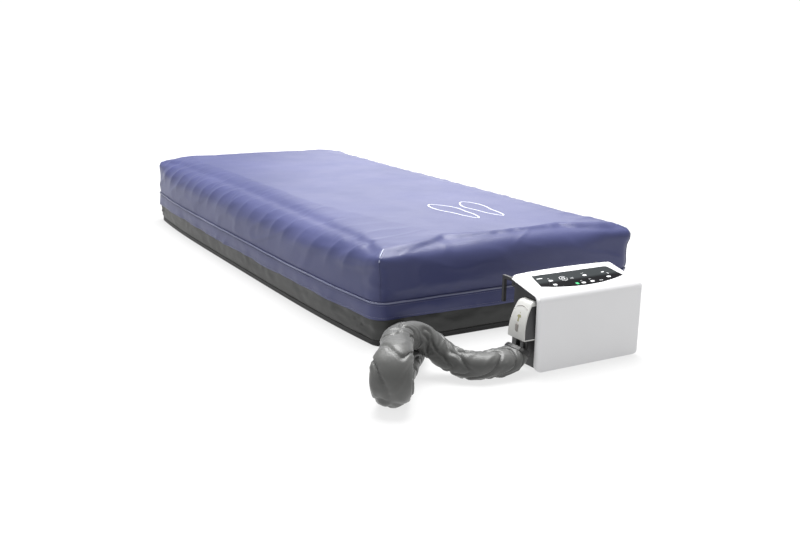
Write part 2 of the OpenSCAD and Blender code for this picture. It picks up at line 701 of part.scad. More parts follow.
// Room between the compressor's case and the side with the mains inlet
comp_side_gap = 45.5;
comp_x = chassis_half_w - comp_side_gap - comp_w / 2;
comp_d = 74;
comp_h = 62;
mount_h = 10;
comp_z = floor_z + mount_h;
post_r = 2;
module compressor_case() color([0.6, 0.6, 0.62]) in_pump() translate([comp_x, comp_y, comp_z]) {
  difference() {
    translate([-comp_w / 2, -comp_d / 2, 0]) cube([comp_w, comp_d, comp_h]);
    translate([-comp_w / 2 + 4, -comp_d / 2 + 4, 4]) cube([comp_w - 8, comp_d - 8, comp_h]);
  }
  translate([0, armature_y - comp_y, 3]) cylinder(r = post_r, h = 34);
}
module drive_coil() color([0.7, 0.4, 0.2]) in_pump() translate([comp_x, comp_y, comp_z + 4]) difference() {
  translate([-22, -comp_d / 2 + 4, 0]) cube([44, 26, 40]);
  translate([-8, -comp_d / 2 + 2, 10]) cube([16, 40, 20]);
}
// Lever that rocks in front of the coil and works the two diaphragms
armature_l = 92;
armature_y = comp_y + 12;
module armature() color([0.5, 0.5, 0.5]) in_pump()
  translate([comp_x, armature_y, comp_z + 12]) difference() {
  union() {
    translate([-armature_l / 2, -2.5, 0]) cube([armature_l, 5, 20]);
    cylinder(r = 5, h = 20);
  }
  translate([0, 0, -1]) cylinder(r = post_r + 0.05, h = 22);
}
// Two rubber cups between the lever's ends and the case's back wall
module diaphragms() color(black) in_pump() for (x = [-1, 1])
  translate([comp_x + x * 34, comp_y + comp_d / 2 - 4, comp_z + 22]) rotate([90, 0, 0]) difference() {
    cylinder(r1 = 15, r2 = 11, h = 16);
    translate([0, 0, -1]) cylinder(r1 = 13.5, r2 = 9.5, h = 15);
  }
module rubber_mounts() color(black) in_pump() for (x = [-1, 1]) for (y = [-1, 1])
  translate([comp_x + x * (comp_w / 2 - 12), comp_y + y * (comp_d / 2 - 12), floor_z])
    cylinder(r = 7, h = mount_h);

valve_x = -70;
valve_y = port_y;
valve_z = 60;
valve_r = 24;
rotor_r = 17;
shaft_r = 3;
module valve_motor() color([0.75, 0.75, 0.78]) in_pump()
  translate([valve_x, valve_y, floor_z]) difference() {
    cylinder(r = 25, h = valve_z - floor_z);
    translate([0, 0, valve_z - floor_z - 12]) cylinder(r = shaft_r + 0.05, h = 13);
  }
module valve_body() color([0.9, 0.9, 0.85]) in_pump() translate([valve_x, valve_y, valve_z]) difference() {
  union() {
    cylinder(r = valve_r, h = 30);
    for (y = [-1, 1]) translate([0, y * port_pitch / 2, 30]) cylinder(r = 4, h = 12);
    translate([0, valve_r - 2, 15]) rotate([-90, 0, 0]) cylinder(r = 4, h = 12);
  }
  translate([0, 0, -1]) cylinder(r = rotor_r + 1, h = 21);
  for (y = [-1, 1]) translate([0, y * port_pitch / 2, 15]) cylinder(r = 2.5, h = 30);
  translate([0, rotor_r - 2, 15]) rotate([-90, 0, 0]) cylinder(r = 2.5, h = 30);
}
module valve_rotor() color([0.95, 0.95, 0.95]) in_pump()
  translate([valve_x, valve_y, valve_z + 1]) difference() {
    union() {
      cylinder(r = rotor_r, h = 10);
      translate([0, 0, -11]) cylinder(r = shaft_r, h = 12);
    }
    for (a = [0:120:240]) rotate([0, 0, a]) translate([11, 0, -1]) cylinder(r = 3, h = 12);
  }

module inner_hoses() color([0.85, 0.85, 0.8]) in_pump() {
  for (y = [-1, 1]) pipe([[valve_x, port_y + y * port_pitch / 2, valve_z + 42],
    [valve_x, port_y + y * port_pitch / 2, port_z],
    [-chassis_half_w + socket_depth, port_y + y * port_pitch / 2, port_z]], 4, 2.5);
  pipe([[valve_x, valve_y + valve_r + 10, valve_z + 15], [valve_x, valve_y + valve_r + 18, valve_z + 15],
    [comp_x - comp_w / 2 - 8, valve_y + valve_r + 18, valve_z + 15],
    [comp_x - comp_w / 2 - 8, comp_y, valve_z + 15], [comp_x - comp_w / 2 - 8, comp_y, comp_z + 30],
    [comp_x - comp_w / 2, comp_y, comp_z + 30]], 4, 2.5);
}

// Port block with two bores that the nozzles plug into
module outlet_socket() color([0.15, 0.15, 0.15]) in_pump() difference() {
  translate([-chassis_half_w, port_y - socket_half_w, port_z - socket_half_h])
    cube([socket_depth, 2 * socket_half_w, 2 * socket_half_h]);
  for (y = [-1, 1])
    translate([-chassis_half_w - 1, port_y + y * port_pitch / 2, port_z]) rotate([0, 90, 0]) {
    cylinder(r = nozzle_r + nozzle_clearance, h = nozzle_in + 2.5);
    cylinder(r = 2.5, h = 60);
  }
}

module power_inlet() color([0.12, 0.12, 0.12]) in_pump()
  translate([chassis_half_w, inlet_y, inlet_z]) difference() {
  union() {
    translate([-24, -13.8, -19.8]) cube([24, 27.6, 39.6]);
    translate([0, -16, -25]) cube([2, 32, 50]);
  }
  translate([-16, -8.5, -4]) cube([30, 17, 22]);
  translate([-14, -8, -19]) cube([30, 16, 11]);
}
module fuse_drawer() color([0.3, 0.3, 0.3]) in_pump()
  translate([chassis_half_w - 13.8, inlet_y - 7.8, inlet_z - 18.8]) cube([16.8, 15.6, 10.6]);

rocker_r = 10;
rocker_in = 3;
stub_r = 1.5;
rocker_tip = 8;
module switch_housing() color(black) in_pump() translate([chassis_half_w, inlet_y, switch_z]) difference() {
  union() {
    translate([-18, -10.8, -14.8]) cube([18, 21.6, 29.6]);
    translate([0, -12.5, -17]) cube([2, 25, 34]);
  }
  translate([-14, -7.5, -11.5]) cube([20, 15, 23]);
  translate([-rocker_in, 0, 0]) rotate([90, 0, 0]) cylinder(r = stub_r + 0.05, h = 19, center = true);
}
// Rocker cut from a cylinder about its pivot, so that it clears its housing through the whole swing
module switch_rocker() color([0.15, 0.5, 0.2]) in_pump()
  translate([chassis_half_w - rocker_in, inlet_y, switch_z]) rotate([0, rocker_tip, 0]) difference() {
    union() {
      rotate([90, 0, 0]) cylinder(r = rocker_r, h = 14, center = true);
      rotate([90, 0, 0]) cylinder(r = stub_r, h = 18.4, center = true);
    }
    for (turn = [0, 180]) rotate([turn, 0, 0]) translate([4.6, -7.2, 0]) rotate([0, rocker_tip, 0])
      cube([20, 14.4, 40]);
    translate([-30, -10, -20]) cube([24, 20, 40]);
  }

// ---------- Connector on the pump's side ----------

hood_back_x = -chassis_half_w - 1.5;
hood_low_z = 92;
hood_high_z = 190;
// How far the hood stands out from its back
hood_reach = 44;
hood_arc_z = 102.5;
hood_arc_r = 150;
hood_arc_x = hood_back_x - hood_reach + hood_arc_r;
// Outline of the hood seen from the front, curved outwards and downwards
function hood_side(inset) =
  let (r = hood_arc_r - inset,
    low = asin((hood_low_z - hood_arc_z) / r),
    high = asin((hood_high_z - 8 - hood_arc_z) / r),
    tip = [hood_arc_x - r * cos(high), hood_high_z - 8])
  concat([[hood_back_x, hood_low_z]],
    [for (i = [0:10]) let (a = low + (high - low) * i / 10)
      [hood_arc_x - r * cos(a), hood_arc_z + r * sin(a)]],
    [tip + [3, 5], tip + [8, 8 - inset], [hood_back_x, hood_high_z - inset]]);
// Outline of the hood seen from the side, wider at the bottom
function hood_face(inset) = [[port_y - 35 + inset, hood_low_z - 1], [port_y + 35 - inset, hood_low_z - 1],
  [port_y + 28 - inset, hood_high_z - 8], [port_y + 22 - inset, hood_high_z + 1 - inset],
  [port_y - 22 + inset, hood_high_z + 1 - inset], [port_y - 28 + inset, hood_high_z - 8]];
module hood_form(inset) intersection() {
  along_y(4 * pump_d) polygon(hood_side(inset));
  along_x(4 * pump_w) polygon(hood_face(inset));
}
button_l = 22;
button_w = 11;
button_gap = 0.4;
module connector_hood() color(pump_white) in_pump() difference() {
  hood_form(0);
  hood_form(hood_t);
  translate([hood_back_x - 0.5, port_y - 60, hood_low_z - 1]) cube([10, 120, hood_high_z]);
  translate([-pump_w / 2 - 40, port_y, button_z]) rotate([0, 90, 0]) linear_extrude(30)
    slot(button_l + 2 * button_gap, button_w + 2 * button_gap);
}

// One moulding: the closing plate of the hood and the two bent nozzles
module connector_nozzles() color(black) in_pump() {
  difference() {
    union() {
      intersection() {
        translate([hood_back_x - 3.5, port_y - 60, hood_low_z]) cube([3, 120, hood_high_z]);
        hood_form(hood_t);
      }
      for (y = [-1, 1]) {
        translate([-chassis_half_w + nozzle_in, port_y + y * port_pitch / 2, port_z]) rotate([0, -90, 0])
          cylinder(r = nozzle_r, h = nozzle_in - chassis_half_w - nozzle_x);
        translate([nozzle_x, port_y + y * port_pitch / 2, port_z]) sphere(nozzle_r);
        translate([nozzle_x, port_y + y * port_pitch / 2, nozzle_low_z])
          cylinder(r = nozzle_r, h = port_z - nozzle_low_z);
      }
    }
    for (y = [-1, 1]) {
      translate([-chassis_half_w + nozzle_in + 1, port_y + y * port_pitch / 2, port_z]) rotate([0, -90, 0])
        cylinder(r = nozzle_bore_r, h = nozzle_in + 1 - chassis_half_w - nozzle_x);
      translate([nozzle_x, port_y + y * port_pitch / 2, port_z]) sphere(nozzle_bore_r);
      translate([nozzle_x, port_y + y * port_pitch / 2, nozzle_low_z - 1])
        cylinder(r = nozzle_bore_r, h = port_z - nozzle_low_z + 1);
      translate([-chassis_half_w + nozzle_in - 6, port_y + y * port_pitch / 2, port_z]) rotate([0, 90, 0])
        rotate_extrude() translate([nozzle_r - 0.9, 0]) square([2, 1.8]);
    }
  }
}
module nozzle_rings() color([0.2, 0.2, 0.2]) in_pump() for (y = [-1, 1])
  translate([-chassis_half_w + nozzle_in - 5.1, port_y + y * port_pitch / 2, port_z]) rotate([0, 90, 0])
    rotate_extrude() translate([nozzle_r - 0.45, 0]) circle(0.44);

// Oval button in the hood's face
button_face_x = hood_arc_x - sqrt(hood_arc_r * hood_arc_r - pow(button_z - hood_arc_z, 2)) - 1.2;
module release_button() color([0.5, 0.5, 0.52]) in_pump() translate([button_face_x, port_y, button_z])
  rotate([0, 90, 0]) linear_extrude(14) slot(button_l, button_w);

module hose(route) {
  m = len(route);
  tube(route, [for (i = [1:m]) [hose_r, hose_r]], [for (i = [1:m]) [hose_bore_r, hose_bore_r]], hose_sides);
}
module air_hose_a() color(black) hose(fitted(hose_a_drawn, 1));
module air_hose_b() color(black) hose(fitted(hose_b_drawn, -1));
module hose_sleeve() color(grey_fabric) tube(fitted(sleeve_drawn, 0), [for (p = sleeve_drawn) [p[3], p[4]]],
  [for (p = sleeve_drawn) [p[3] - sleeve_t, p[4] - sleeve_t]], sleeve_sides);

base_panel();
base_cover();
zip_tape();
zip_teeth();
zip_slider();
zip_flap();
top_cover();
foam_base();
cell_sheet();
air_cells_a();
air_cells_b();
air_line_a();
air_line_b();
cell_spigots();
inlet_links();
hose_port();
cpr_links();
cpr_valve();
cpr_knob();
pump_shell();
pump_chassis();
rear_cover();
pump_feet();
housing_screws();
control_panel();
mute_key();
lock_key();
mode_key();
static_key();
firmer_key();
softer_key();
status_light();
circuit_board();
compressor_case();
drive_coil();
armature();
diaphragms();
rubber_mounts();
valve_body();
valve_rotor();
valve_motor();
inner_hoses();
outlet_socket();
power_inlet();
fuse_drawer();
switch_housing();
switch_rocker();
air_filter();
filter_cover();
hook_left();
hook_right();
hook_pins();
connector_hood();
connector_nozzles();
nozzle_rings();
release_button();
air_hose_a();
air_hose_b();
hose_sleeve();
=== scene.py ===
"""The looks of an alternating pressure relief mattress with its pump, hoses and hose sleeve."""
import json
import math

import bmesh
import bpy
import numpy as np
from mathutils import Matrix, Vector, noise


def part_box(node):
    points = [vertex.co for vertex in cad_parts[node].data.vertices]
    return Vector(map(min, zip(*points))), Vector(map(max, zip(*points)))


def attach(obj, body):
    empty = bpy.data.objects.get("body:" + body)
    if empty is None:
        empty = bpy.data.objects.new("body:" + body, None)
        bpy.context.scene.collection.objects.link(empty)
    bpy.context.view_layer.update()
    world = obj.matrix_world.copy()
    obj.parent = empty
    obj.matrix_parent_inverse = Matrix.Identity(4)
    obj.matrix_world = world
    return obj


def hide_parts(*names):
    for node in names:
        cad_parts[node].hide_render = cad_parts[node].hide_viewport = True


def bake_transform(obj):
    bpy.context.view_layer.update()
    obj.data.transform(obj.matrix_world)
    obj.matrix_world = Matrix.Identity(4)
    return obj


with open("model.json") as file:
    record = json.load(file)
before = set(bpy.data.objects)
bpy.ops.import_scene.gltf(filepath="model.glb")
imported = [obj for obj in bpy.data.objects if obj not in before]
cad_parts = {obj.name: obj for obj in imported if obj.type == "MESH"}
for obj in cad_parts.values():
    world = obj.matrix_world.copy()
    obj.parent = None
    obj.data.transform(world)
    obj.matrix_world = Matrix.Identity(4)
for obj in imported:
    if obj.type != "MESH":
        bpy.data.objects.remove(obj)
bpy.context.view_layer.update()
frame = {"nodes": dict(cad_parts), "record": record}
scene = bpy.context.scene
MM = 0.001

# ---------- Sizes from the frame, in metres ----------

_, cover_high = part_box("top_cover")
flap_low, flap_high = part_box("zip_flap")
_, wall_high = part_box("base_cover")
_, wrap_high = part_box("base_panel")
shell_low, shell_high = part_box("pump_shell")
hood_low, hood_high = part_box("connector_hood")
HALF_W = cover_high.x
HALF_L = cover_high.y
SEAM_Z = flap_high.z
PLAN_CORNER = 40 * MM
EDGE_ROUND = 58 * MM
CROWN = 26 * MM
EDGE_LIFT = 5 * MM
SIDE_BOW = 27 * MM
TOP_LIMIT = 286 * MM
CELL_PITCH = 100.7 * MM

PUMP_X = (shell_low.x + shell_high.x) / 2
PUMP_FRONT = shell_low.y
TOP_SLOPE = math.radians(13)
TOP_FRONT_Z = 208.83 * MM



def new_object(name, data):
    made = bpy.data.objects.new(name, data)
    scene.collection.objects.link(made)
    return made


# ---------- Camera ----------

CAMERA_PLACE = Vector((-1.668, -3.184, 0.855))
CAMERA_TURN = math.radians(-30.52)
CAMERA_DROP = math.radians(14.06)
CAMERA_ROLL = math.radians(1.11)
CAMERA_LENS = 42.79


def make_camera():
    back = Vector((
        math.sin(CAMERA_TURN) * math.cos(CAMERA_DROP),
        -math.cos(CAMERA_TURN) * math.cos(CAMERA_DROP),
        math.sin(CAMERA_DROP),
    ))
    right = (-back).cross(Vector((0, 0, 1))).normalized()
    up = back.cross(right)
    tilted_right = right * math.cos(CAMERA_ROLL) + up * math.sin(CAMERA_ROLL)
    tilted_up = back.cross(tilted_right)
    data = bpy.data.cameras.new("camera")
    data.sensor_width = 36
    data.lens = CAMERA_LENS
    data.clip_end = 60
    camera = new_object("camera", data)
    turn = Matrix((tilted_right, tilted_up, back)).transposed()
    camera.matrix_world = Matrix.Translation(CAMERA_PLACE) @ turn.to_4x4()
    scene.camera = camera


make_camera()

# ---------- Materials ----------


def new_material(name):
    made = bpy.data.materials.new(name)
    made.use_nodes = True
    tree = made.node_tree
    return made, tree, tree.nodes["Principled BSDF"]


def add(tree, kind, **settings):
    node = tree.nodes.new(kind)
    for key, value in settings.items():
        if key in node.inputs:
            node.inputs[key].default_value = value
        else:
            setattr(node, key.lower(), value)
    return node


def object_point(tree):
    return tree.nodes.new("ShaderNodeTexCoord").outputs["Object"]


def ramp(tree, fac, stops):
    node = tree.nodes.new("ShaderNodeValToRGB")
    tree.links.new(fac, node.inputs["Fac"])
    elements = node.color_ramp.elements
    while len(elements) < len(stops):
        elements.new(0.5)
    for element, (place, colour) in zip(elements, stops):
        element.position = place
        element.color = (*colour, 1)
    return node.outputs["Color"]


def noise_field(tree, point, scale, detail=3.0, rough=0.5):
    node = add(tree, "ShaderNodeTexNoise", Scale=scale, Detail=detail, Roughness=rough)
    tree.links.new(point, node.inputs["Vector"])
    return node.outputs["Fac"]


def bump(tree, height, distance, strength=1.0, normal=None):
    node = add(tree, "ShaderNodeBump", Strength=strength, Distance=distance)
    tree.links.new(height, node.inputs["Height"])
    if normal is not None:
        tree.links.new(normal, node.inputs["Normal"])
    return node.outputs["Normal"]


def set_sockets(node, **values):
    """Sets a node's inputs by name, with underscores for spaces."""
    for name, value in values.items():
        node.inputs[name.replace("_", " ")].default_value = value


def remap(tree, value, **ends):
    node = tree.nodes.new("ShaderNodeMapRange")
    set_sockets(node, **ends)
    tree.links.new(value, node.inputs["Value"])
    return node.outputs["Result"]


def coated_cloth(name, dark, light, rough=0.42, sheen=0.3, tint=(1, 1, 1), weave=900.0, crinkle=0.5 * MM):
    """Stretch fabric with a thin satin coating: mottled colour, faint crinkles and a fine knit."""
    made, tree, shader = new_material(name)
    point = object_point(tree)
    mottled = noise_field(tree, point, 3.0, 4.0)
    tree.links.new(ramp(tree, mottled, [(0.3, dark), (0.7, light)]), shader.inputs["Base Color"])
    worn = remap(tree, noise_field(tree, point, 9.0, 3.0), To_Min=rough - 0.05, To_Max=rough + 0.07)
    tree.links.new(worn, shader.inputs["Roughness"])
    crinkles = bump(tree, noise_field(tree, point, 26.0, 5.0, 0.55), crinkle, 0.7)
    knit = add(tree, "ShaderNodeTexVoronoi", Scale=weave)
    tree.links.new(point, knit.inputs["Vector"])
    tree.links.new(bump(tree, knit.outputs["Distance"], 0.12 * MM, 0.35, crinkles), shader.inputs["Normal"])
    set_sockets(shader, Sheen_Weight=sheen, Sheen_Roughness=0.35, Sheen_Tint=(*tint, 1),
                Specular_IOR_Level=0.35)
    return made


def moulding(name, colour, rough=0.4, grain=0.04 * MM, coat=0.0, scale=1400.0, mottle=0.07):
    """Moulded plastic or rubber with a fine spark-eroded grain and slightly uneven gloss."""
    made, tree, shader = new_material(name)
    point = object_point(tree)
    shade = tuple(c * (1 - mottle) for c in colour)
    cloudy = noise_field(tree, point, 14.0, 2.0)
    tree.links.new(ramp(tree, cloudy, [(0.35, shade), (0.65, colour)]), shader.inputs["Base Color"])
    gloss = noise_field(tree, point, 40.0, 2.0)
    worn = remap(tree, gloss, To_Min=max(0.02, rough - 0.05), To_Max=rough + 0.06)
    tree.links.new(worn, shader.inputs["Roughness"])
    tree.links.new(bump(tree, noise_field(tree, point, scale, 1.0), grain, 0.5), shader.inputs["Normal"])
    set_sockets(shader, Coat_Weight=coat, Coat_Roughness=0.08)
    return made


def metal(name, colour, rough=0.3):
    """Plated metal with fine drawn lines."""
    made, tree, shader = new_material(name)
    point = object_point(tree)
    stretch = add(tree, "ShaderNodeMapping")
    stretch.inputs["Scale"].default_value = (60, 900, 900)
    tree.links.new(point, stretch.inputs["Vector"])
    lines = noise_field(tree, stretch.outputs["Vector"], 1.0, 2.0)
    shade = tuple(c * 0.85 for c in colour)
    tree.links.new(ramp(tree, lines, [(0.3, shade), (0.7, colour)]), shader.inputs["Base Color"])
    tree.links.new(bump(tree, lines, 0.02 * MM, 0.4), shader.inputs["Normal"])
    set_sockets(shader, Metallic=1.0, Roughness=rough)
    return made


def printed(name, colour, glow=0.0):
    """Ink of a printed symbol, or a small lamp; glow sets its emission, which on plain ink is painted light.
    """
    made, tree, shader = new_material(name)
    shade = tuple(c * 0.9 for c in colour)
    speckle = noise_field(tree, object_point(tree), 2500.0, 1.0)
    tree.links.new(ramp(tree, speckle, [(0.4, shade), (0.6, colour)]), shader.inputs["Base Color"])
    set_sockets(shader, Roughness=0.45, Emission_Color=(*colour, 1), Emission_Strength=glow)
    return made


BLUE_DARK = (0.040, 0.046, 0.125)
BLUE_LIGHT = (0.052, 0.058, 0.150)
blue_cloth = coated_cloth("violet_blue_cover_cloth", BLUE_DARK, BLUE_LIGHT, 0.42, 0.10, (0.60, 0.66, 1.0))
# lighter blue cloth for the seam piping and its stitches: a painted highlight along the seam ridge
seam_highlight_cloth = coated_cloth("seam_cloth_painted_highlight", (0.10, 0.11, 0.20), (0.20, 0.21, 0.30), 0.45, 0.2)
# pale blue cloth for the corner ears: a painted highlight on the pinched seam ends at the top corners
ear_highlight_cloth = coated_cloth("corner_ear_painted_highlight", (0.30, 0.32, 0.45), (0.45, 0.47, 0.60), 0.4, 0.2)
grey_cloth = coated_cloth(
    "grey_base_cloth", (0.026, 0.027, 0.026), (0.042, 0.043, 0.041), 0.45, 0.1, weave=1200.0)
black_cloth = coated_cloth("black_underside_cloth", (0.008, 0.008, 0.008), (0.014, 0.014, 0.014), 0.55, 0.1)
sleeve_cloth = coated_cloth(
    "grey_sleeve_cloth", (0.075, 0.076, 0.074), (0.100, 0.101, 0.098), 0.40, 0.15,
    weave=1500.0, crinkle=0.8 * MM)
white_shell = moulding("satin_white_shell", (0.70, 0.70, 0.71), 0.36, 0.02 * MM, mottle=0.01)
connector_white = moulding("off_white_connector", (0.56, 0.56, 0.54), 0.4, 0.02 * MM, mottle=0.01)
charcoal = moulding("charcoal_housing", (0.045, 0.045, 0.047), 0.5)
black_plastic = moulding("black_fitting", (0.012, 0.012, 0.013), 0.35)
hose_rubber = moulding("black_hose_rubber", (0.018, 0.018, 0.018), 0.45)
foot_rubber = moulding("black_foot_rubber", (0.02, 0.02, 0.02), 0.7)
key_plastic = moulding("pale_key", (0.82, 0.83, 0.84), 0.35)
button_grey = moulding("warm_grey_button", (0.30, 0.28, 0.26), 0.4)
red_plastic = moulding("red_quick_release", (0.45, 0.03, 0.025), 0.3)
green_rocker = moulding("green_rocker", (0.02, 0.22, 0.06), 0.25)
valve_plastic = moulding("cream_valve", (0.62, 0.60, 0.52), 0.45)
board_green = moulding("green_board", (0.015, 0.14, 0.05), 0.4)
copper = metal("lacquered_copper", (0.72, 0.33, 0.16), 0.35)
steel = metal("plated_steel", (0.56, 0.56, 0.57), 0.28)
alloy = metal("cast_alloy", (0.45, 0.45, 0.46), 0.5)
clear_film = moulding("air_cell_film", (0.50, 0.54, 0.60), 0.3, coat=0.2)
foam = coated_cloth(
    "open_cell_foam", (0.50, 0.47, 0.33), (0.60, 0.57, 0.42), 0.9, 0.2, weave=500.0, crinkle=1.5 * MM)
filter_foam = coated_cloth(
    "black_filter_foam", (0.02, 0.02, 0.02), (0.03, 0.03, 0.03), 0.95, 0.1, weave=700.0)
# the pale ink of the panel symbols glows faintly: painted light, since the print is no lamp
white_ink_painted_glow = printed("pale_ink_painted_glow", (0.80, 0.81, 0.82), 0.25)
sole_ink = printed("sole_ink", (0.80, 0.82, 0.92))
olive_ink = printed("olive_ink", (0.30, 0.29, 0.16))
green_lamp = printed("green_lamp", (0.02, 0.42, 0.14), 0.35)


def panel_overlay():
    """Glossy black overlay whose back half is a smoky grey band."""
    made, tree, shader = new_material("smoked_panel")
    split = tree.nodes.new("ShaderNodeSeparateXYZ")
    tree.links.new(object_point(tree), split.inputs["Vector"])
    back = remap(tree, split.outputs["Y"], From_Min=PUMP_FRONT + 56 * MM, From_Max=PUMP_FRONT + 68 * MM)
    colour = ramp(tree, back, [(0.0, (0.004, 0.004, 0.005)), (1.0, (0.030, 0.034, 0.036))])
    tree.links.new(colour, shader.inputs["Base Color"])
    grain = noise_field(tree, object_point(tree), 300.0)
    tree.links.new(bump(tree, grain, 0.01 * MM, 0.3), shader.inputs["Normal"])
    set_sockets(shader, Roughness=0.30, Specular_IOR_Level=0.04)
    return made


smoked_panel = panel_overlay()

# ---------- Mesh helpers ----------


def shade_smooth(obj):
    obj.data.polygons.foreach_set("use_smooth", [True] * len(obj.data.polygons))


def piece(name, points, faces, material, smooth=True):
    mesh = bpy.data.meshes.new(name)
    mesh.from_pydata([tuple(p) for p in points], [], faces)
    mesh.update()
    made = new_object(name, mesh)
    mesh.materials.append(material)
    if smooth:
        shade_smooth(made)
    return made


def vertex_rows(mesh, what="co"):
    """The place, or the normal, of every vertex of a mesh, one row each."""
    flat = np.zeros(len(mesh.vertices) * 3)
    mesh.vertices.foreach_get(what, flat)
    return flat.reshape(-1, 3)


def place_vertices(obj, rows):
    obj.data.vertices.foreach_set("co", rows.ravel())
    obj.data.update()


def apply_modifiers(obj):
    """Turns the modified object into a plain mesh."""
    graph = bpy.context.evaluated_depsgraph_get()
    mesh = bpy.data.meshes.new_from_object(obj.evaluated_get(graph))
    obj.modifiers.clear()
    obj.data = mesh
    return obj


def modifier(obj, kind, **settings):
    made = obj.modifiers.new(kind.lower(), kind)
    for key, value in settings.items():
        setattr(made, key, value)
    return made


def thicken(obj, thickness):
    """Gives a skin its thickness, inwards."""
    modifier(obj, "SOLIDIFY", thickness=thickness, offset=-1)
    apply_modifiers(obj)


def grid_faces(rows, columns, closed):
    """Faces of a grid of points, row by row; closed joins the last column to the first."""
    faces = []
    for i in range(rows - 1):
        for j in range(columns if closed else columns - 1):
            k = (j + 1) % columns
            faces.append((i * columns + j, i * columns + k, (i + 1) * columns + k, (i + 1) * columns + j))
    return faces


def smooth_step(x, a, b):
    t = np.clip((x - a) / (b - a), 0, 1)
    return t * t * (3 - 2 * t)


def cloud(points, size, seed=0.0):
    """Smooth noise from -1 to 1 at each point, with lumps of about that size."""
    shift = Vector((seed * 3.7, seed * 1.3, seed * 2.1))
    return np.array([noise.noise(Vector(p) / size + shift) for p in points])


def plan_outline(inset, step):
    """Points round the mattress at an even spacing, anticlockwise, with their outward directions."""
    w, l = HALF_W - inset, HALF_L - inset
    r = PLAN_CORNER - inset
    corners = [(w - r, l - r, 0), (r - w, l - r, 90), (r - w, r - l, 180), (w - r, r - l, 270)]
    points, outward = [], []
    for n, (cx, cy, start) in enumerate(corners):
        turns = max(4, round(r * math.pi / 2 / step * 1.5))
        for i in range(turns + 1):
            a = math.radians(start + 90 * i / turns)
            points.append((cx + r * math.cos(a), cy + r * math.sin(a)))
            outward.append((math.cos(a), math.sin(a)))
        nx, ny, _ = corners[(n + 1) % 4]
        a = math.radians(start + 90)
        end = Vector((nx + r * math.cos(a), ny + r * math.sin(a)))
        begin = Vector(points[-1])
        parts = max(2, round((end - begin).length / step))
        for i in range(1, parts):
            points.append(tuple(begin.lerp(end, i / parts)))
            outward.append((math.cos(a), math.sin(a)))
    return np.array(points), np.array(outward)


def bowed(points):
    """Bows the long sides outward towards the middle of the length, as the filled cells push them."""
    along = np.clip(np.abs(points[:, 1]) / HALF_L, 0, 1)
    level = np.clip(points[:, 2] / cover_high.z, 0, 1)
    amount = SIDE_BOW * (1 + 0.25 * np.sin(level * math.pi)) * (1 - along ** 4)
    points[:, 0] *= 1 + amount / HALF_W
    return points


def curtain(name, inset, levels, step, shape, material):
    """A fabric band round the mattress; shape(points, outward) gives how far each point stands out."""
    outline, outward = plan_outline(inset, step)
    count = len(outline)
    points = np.zeros((len(levels) * count, 3))
    for i, z in enumerate(levels):
        points[i * count:(i + 1) * count, :2] = outline
        points[i * count:(i + 1) * count, 2] = z
    sides = np.tile(outward, (len(levels), 1))
    out, rise = shape(points, sides)
    points[:, :2] += sides * out[:, None]
    points[:, 2] += rise
    return piece(name, bowed(points), grid_faces(len(levels), count, True), material)


def tube_rings(path, radius, sides):
    """Points of a round tube that follows the path."""
    path = [Vector(p) for p in path]
    points = []
    across = Vector((1, 0, 0))
    for i, p in enumerate(path):
        along = (path[min(i + 1, len(path) - 1)] - path[max(i - 1, 0)]).normalized()
        across = (across - along * along.dot(across)).normalized()
        other = along.cross(across)
        for k in range(sides):
            a = 2 * math.pi * k / sides
            points.append(p + across * (radius * math.cos(a)) + other * (radius * math.sin(a)))
    return points


def tube(name, path, radius, sides, material, closed=False):
    points = tube_rings(path, radius, sides)
    faces = [tuple(reversed(f)) for f in grid_faces(len(path), sides, True)]
    last = (len(path) - 1) * sides
    if closed:
        faces += [(last + k, k, (k + 1) % sides, last + (k + 1) % sides) for k in range(sides)]
    else:
        faces.append(tuple(range(sides)))
        faces.append(tuple(last + k for k in reversed(range(sides))))
    made = piece(name, points, faces, material)
    tidy_normals(made)
    return made


def tidy_normals(obj):
    """Turns every face of a skin outwards."""
    work = bmesh.new()
    work.from_mesh(obj.data)
    bmesh.ops.recalc_face_normals(work, faces=work.faces)
    work.to_mesh(obj.data)
    work.free()


def face_up(obj):
    """Turns the faces of a flat mark upwards."""
    work = bmesh.new()
    work.from_mesh(obj.data)
    work.normal_update()
    for face in work.faces:
        if face.normal.z < 0:
            face.normal_flip()
    work.to_mesh(obj.data)
    work.free()


def spline(points, parts):
    """A smooth path through the points (Catmull-Rom), with that many parts between two points."""
    rows = np.array(points, float)
    padded = np.vstack([2 * rows[0] - rows[1], rows, 2 * rows[-1] - rows[-2]])
    out = []
    for i in range(1, len(padded) - 2):
        a, b, c, d = padded[i - 1:i + 3]
        for n in range(parts):
            t = n / parts
            out.append(0.5 * (2 * b + (c - a) * t + (2 * a - 5 * b + 4 * c - d) * t ** 2
                              + (3 * b - a - 3 * c + d) * t ** 3))
    out.append(rows[-1])
    return np.array(out)


def path_length(points):
    return float(np.linalg.norm(np.diff(np.array(points)[:, :3], axis=0), axis=1).sum())


# ---------- Air hoses ----------

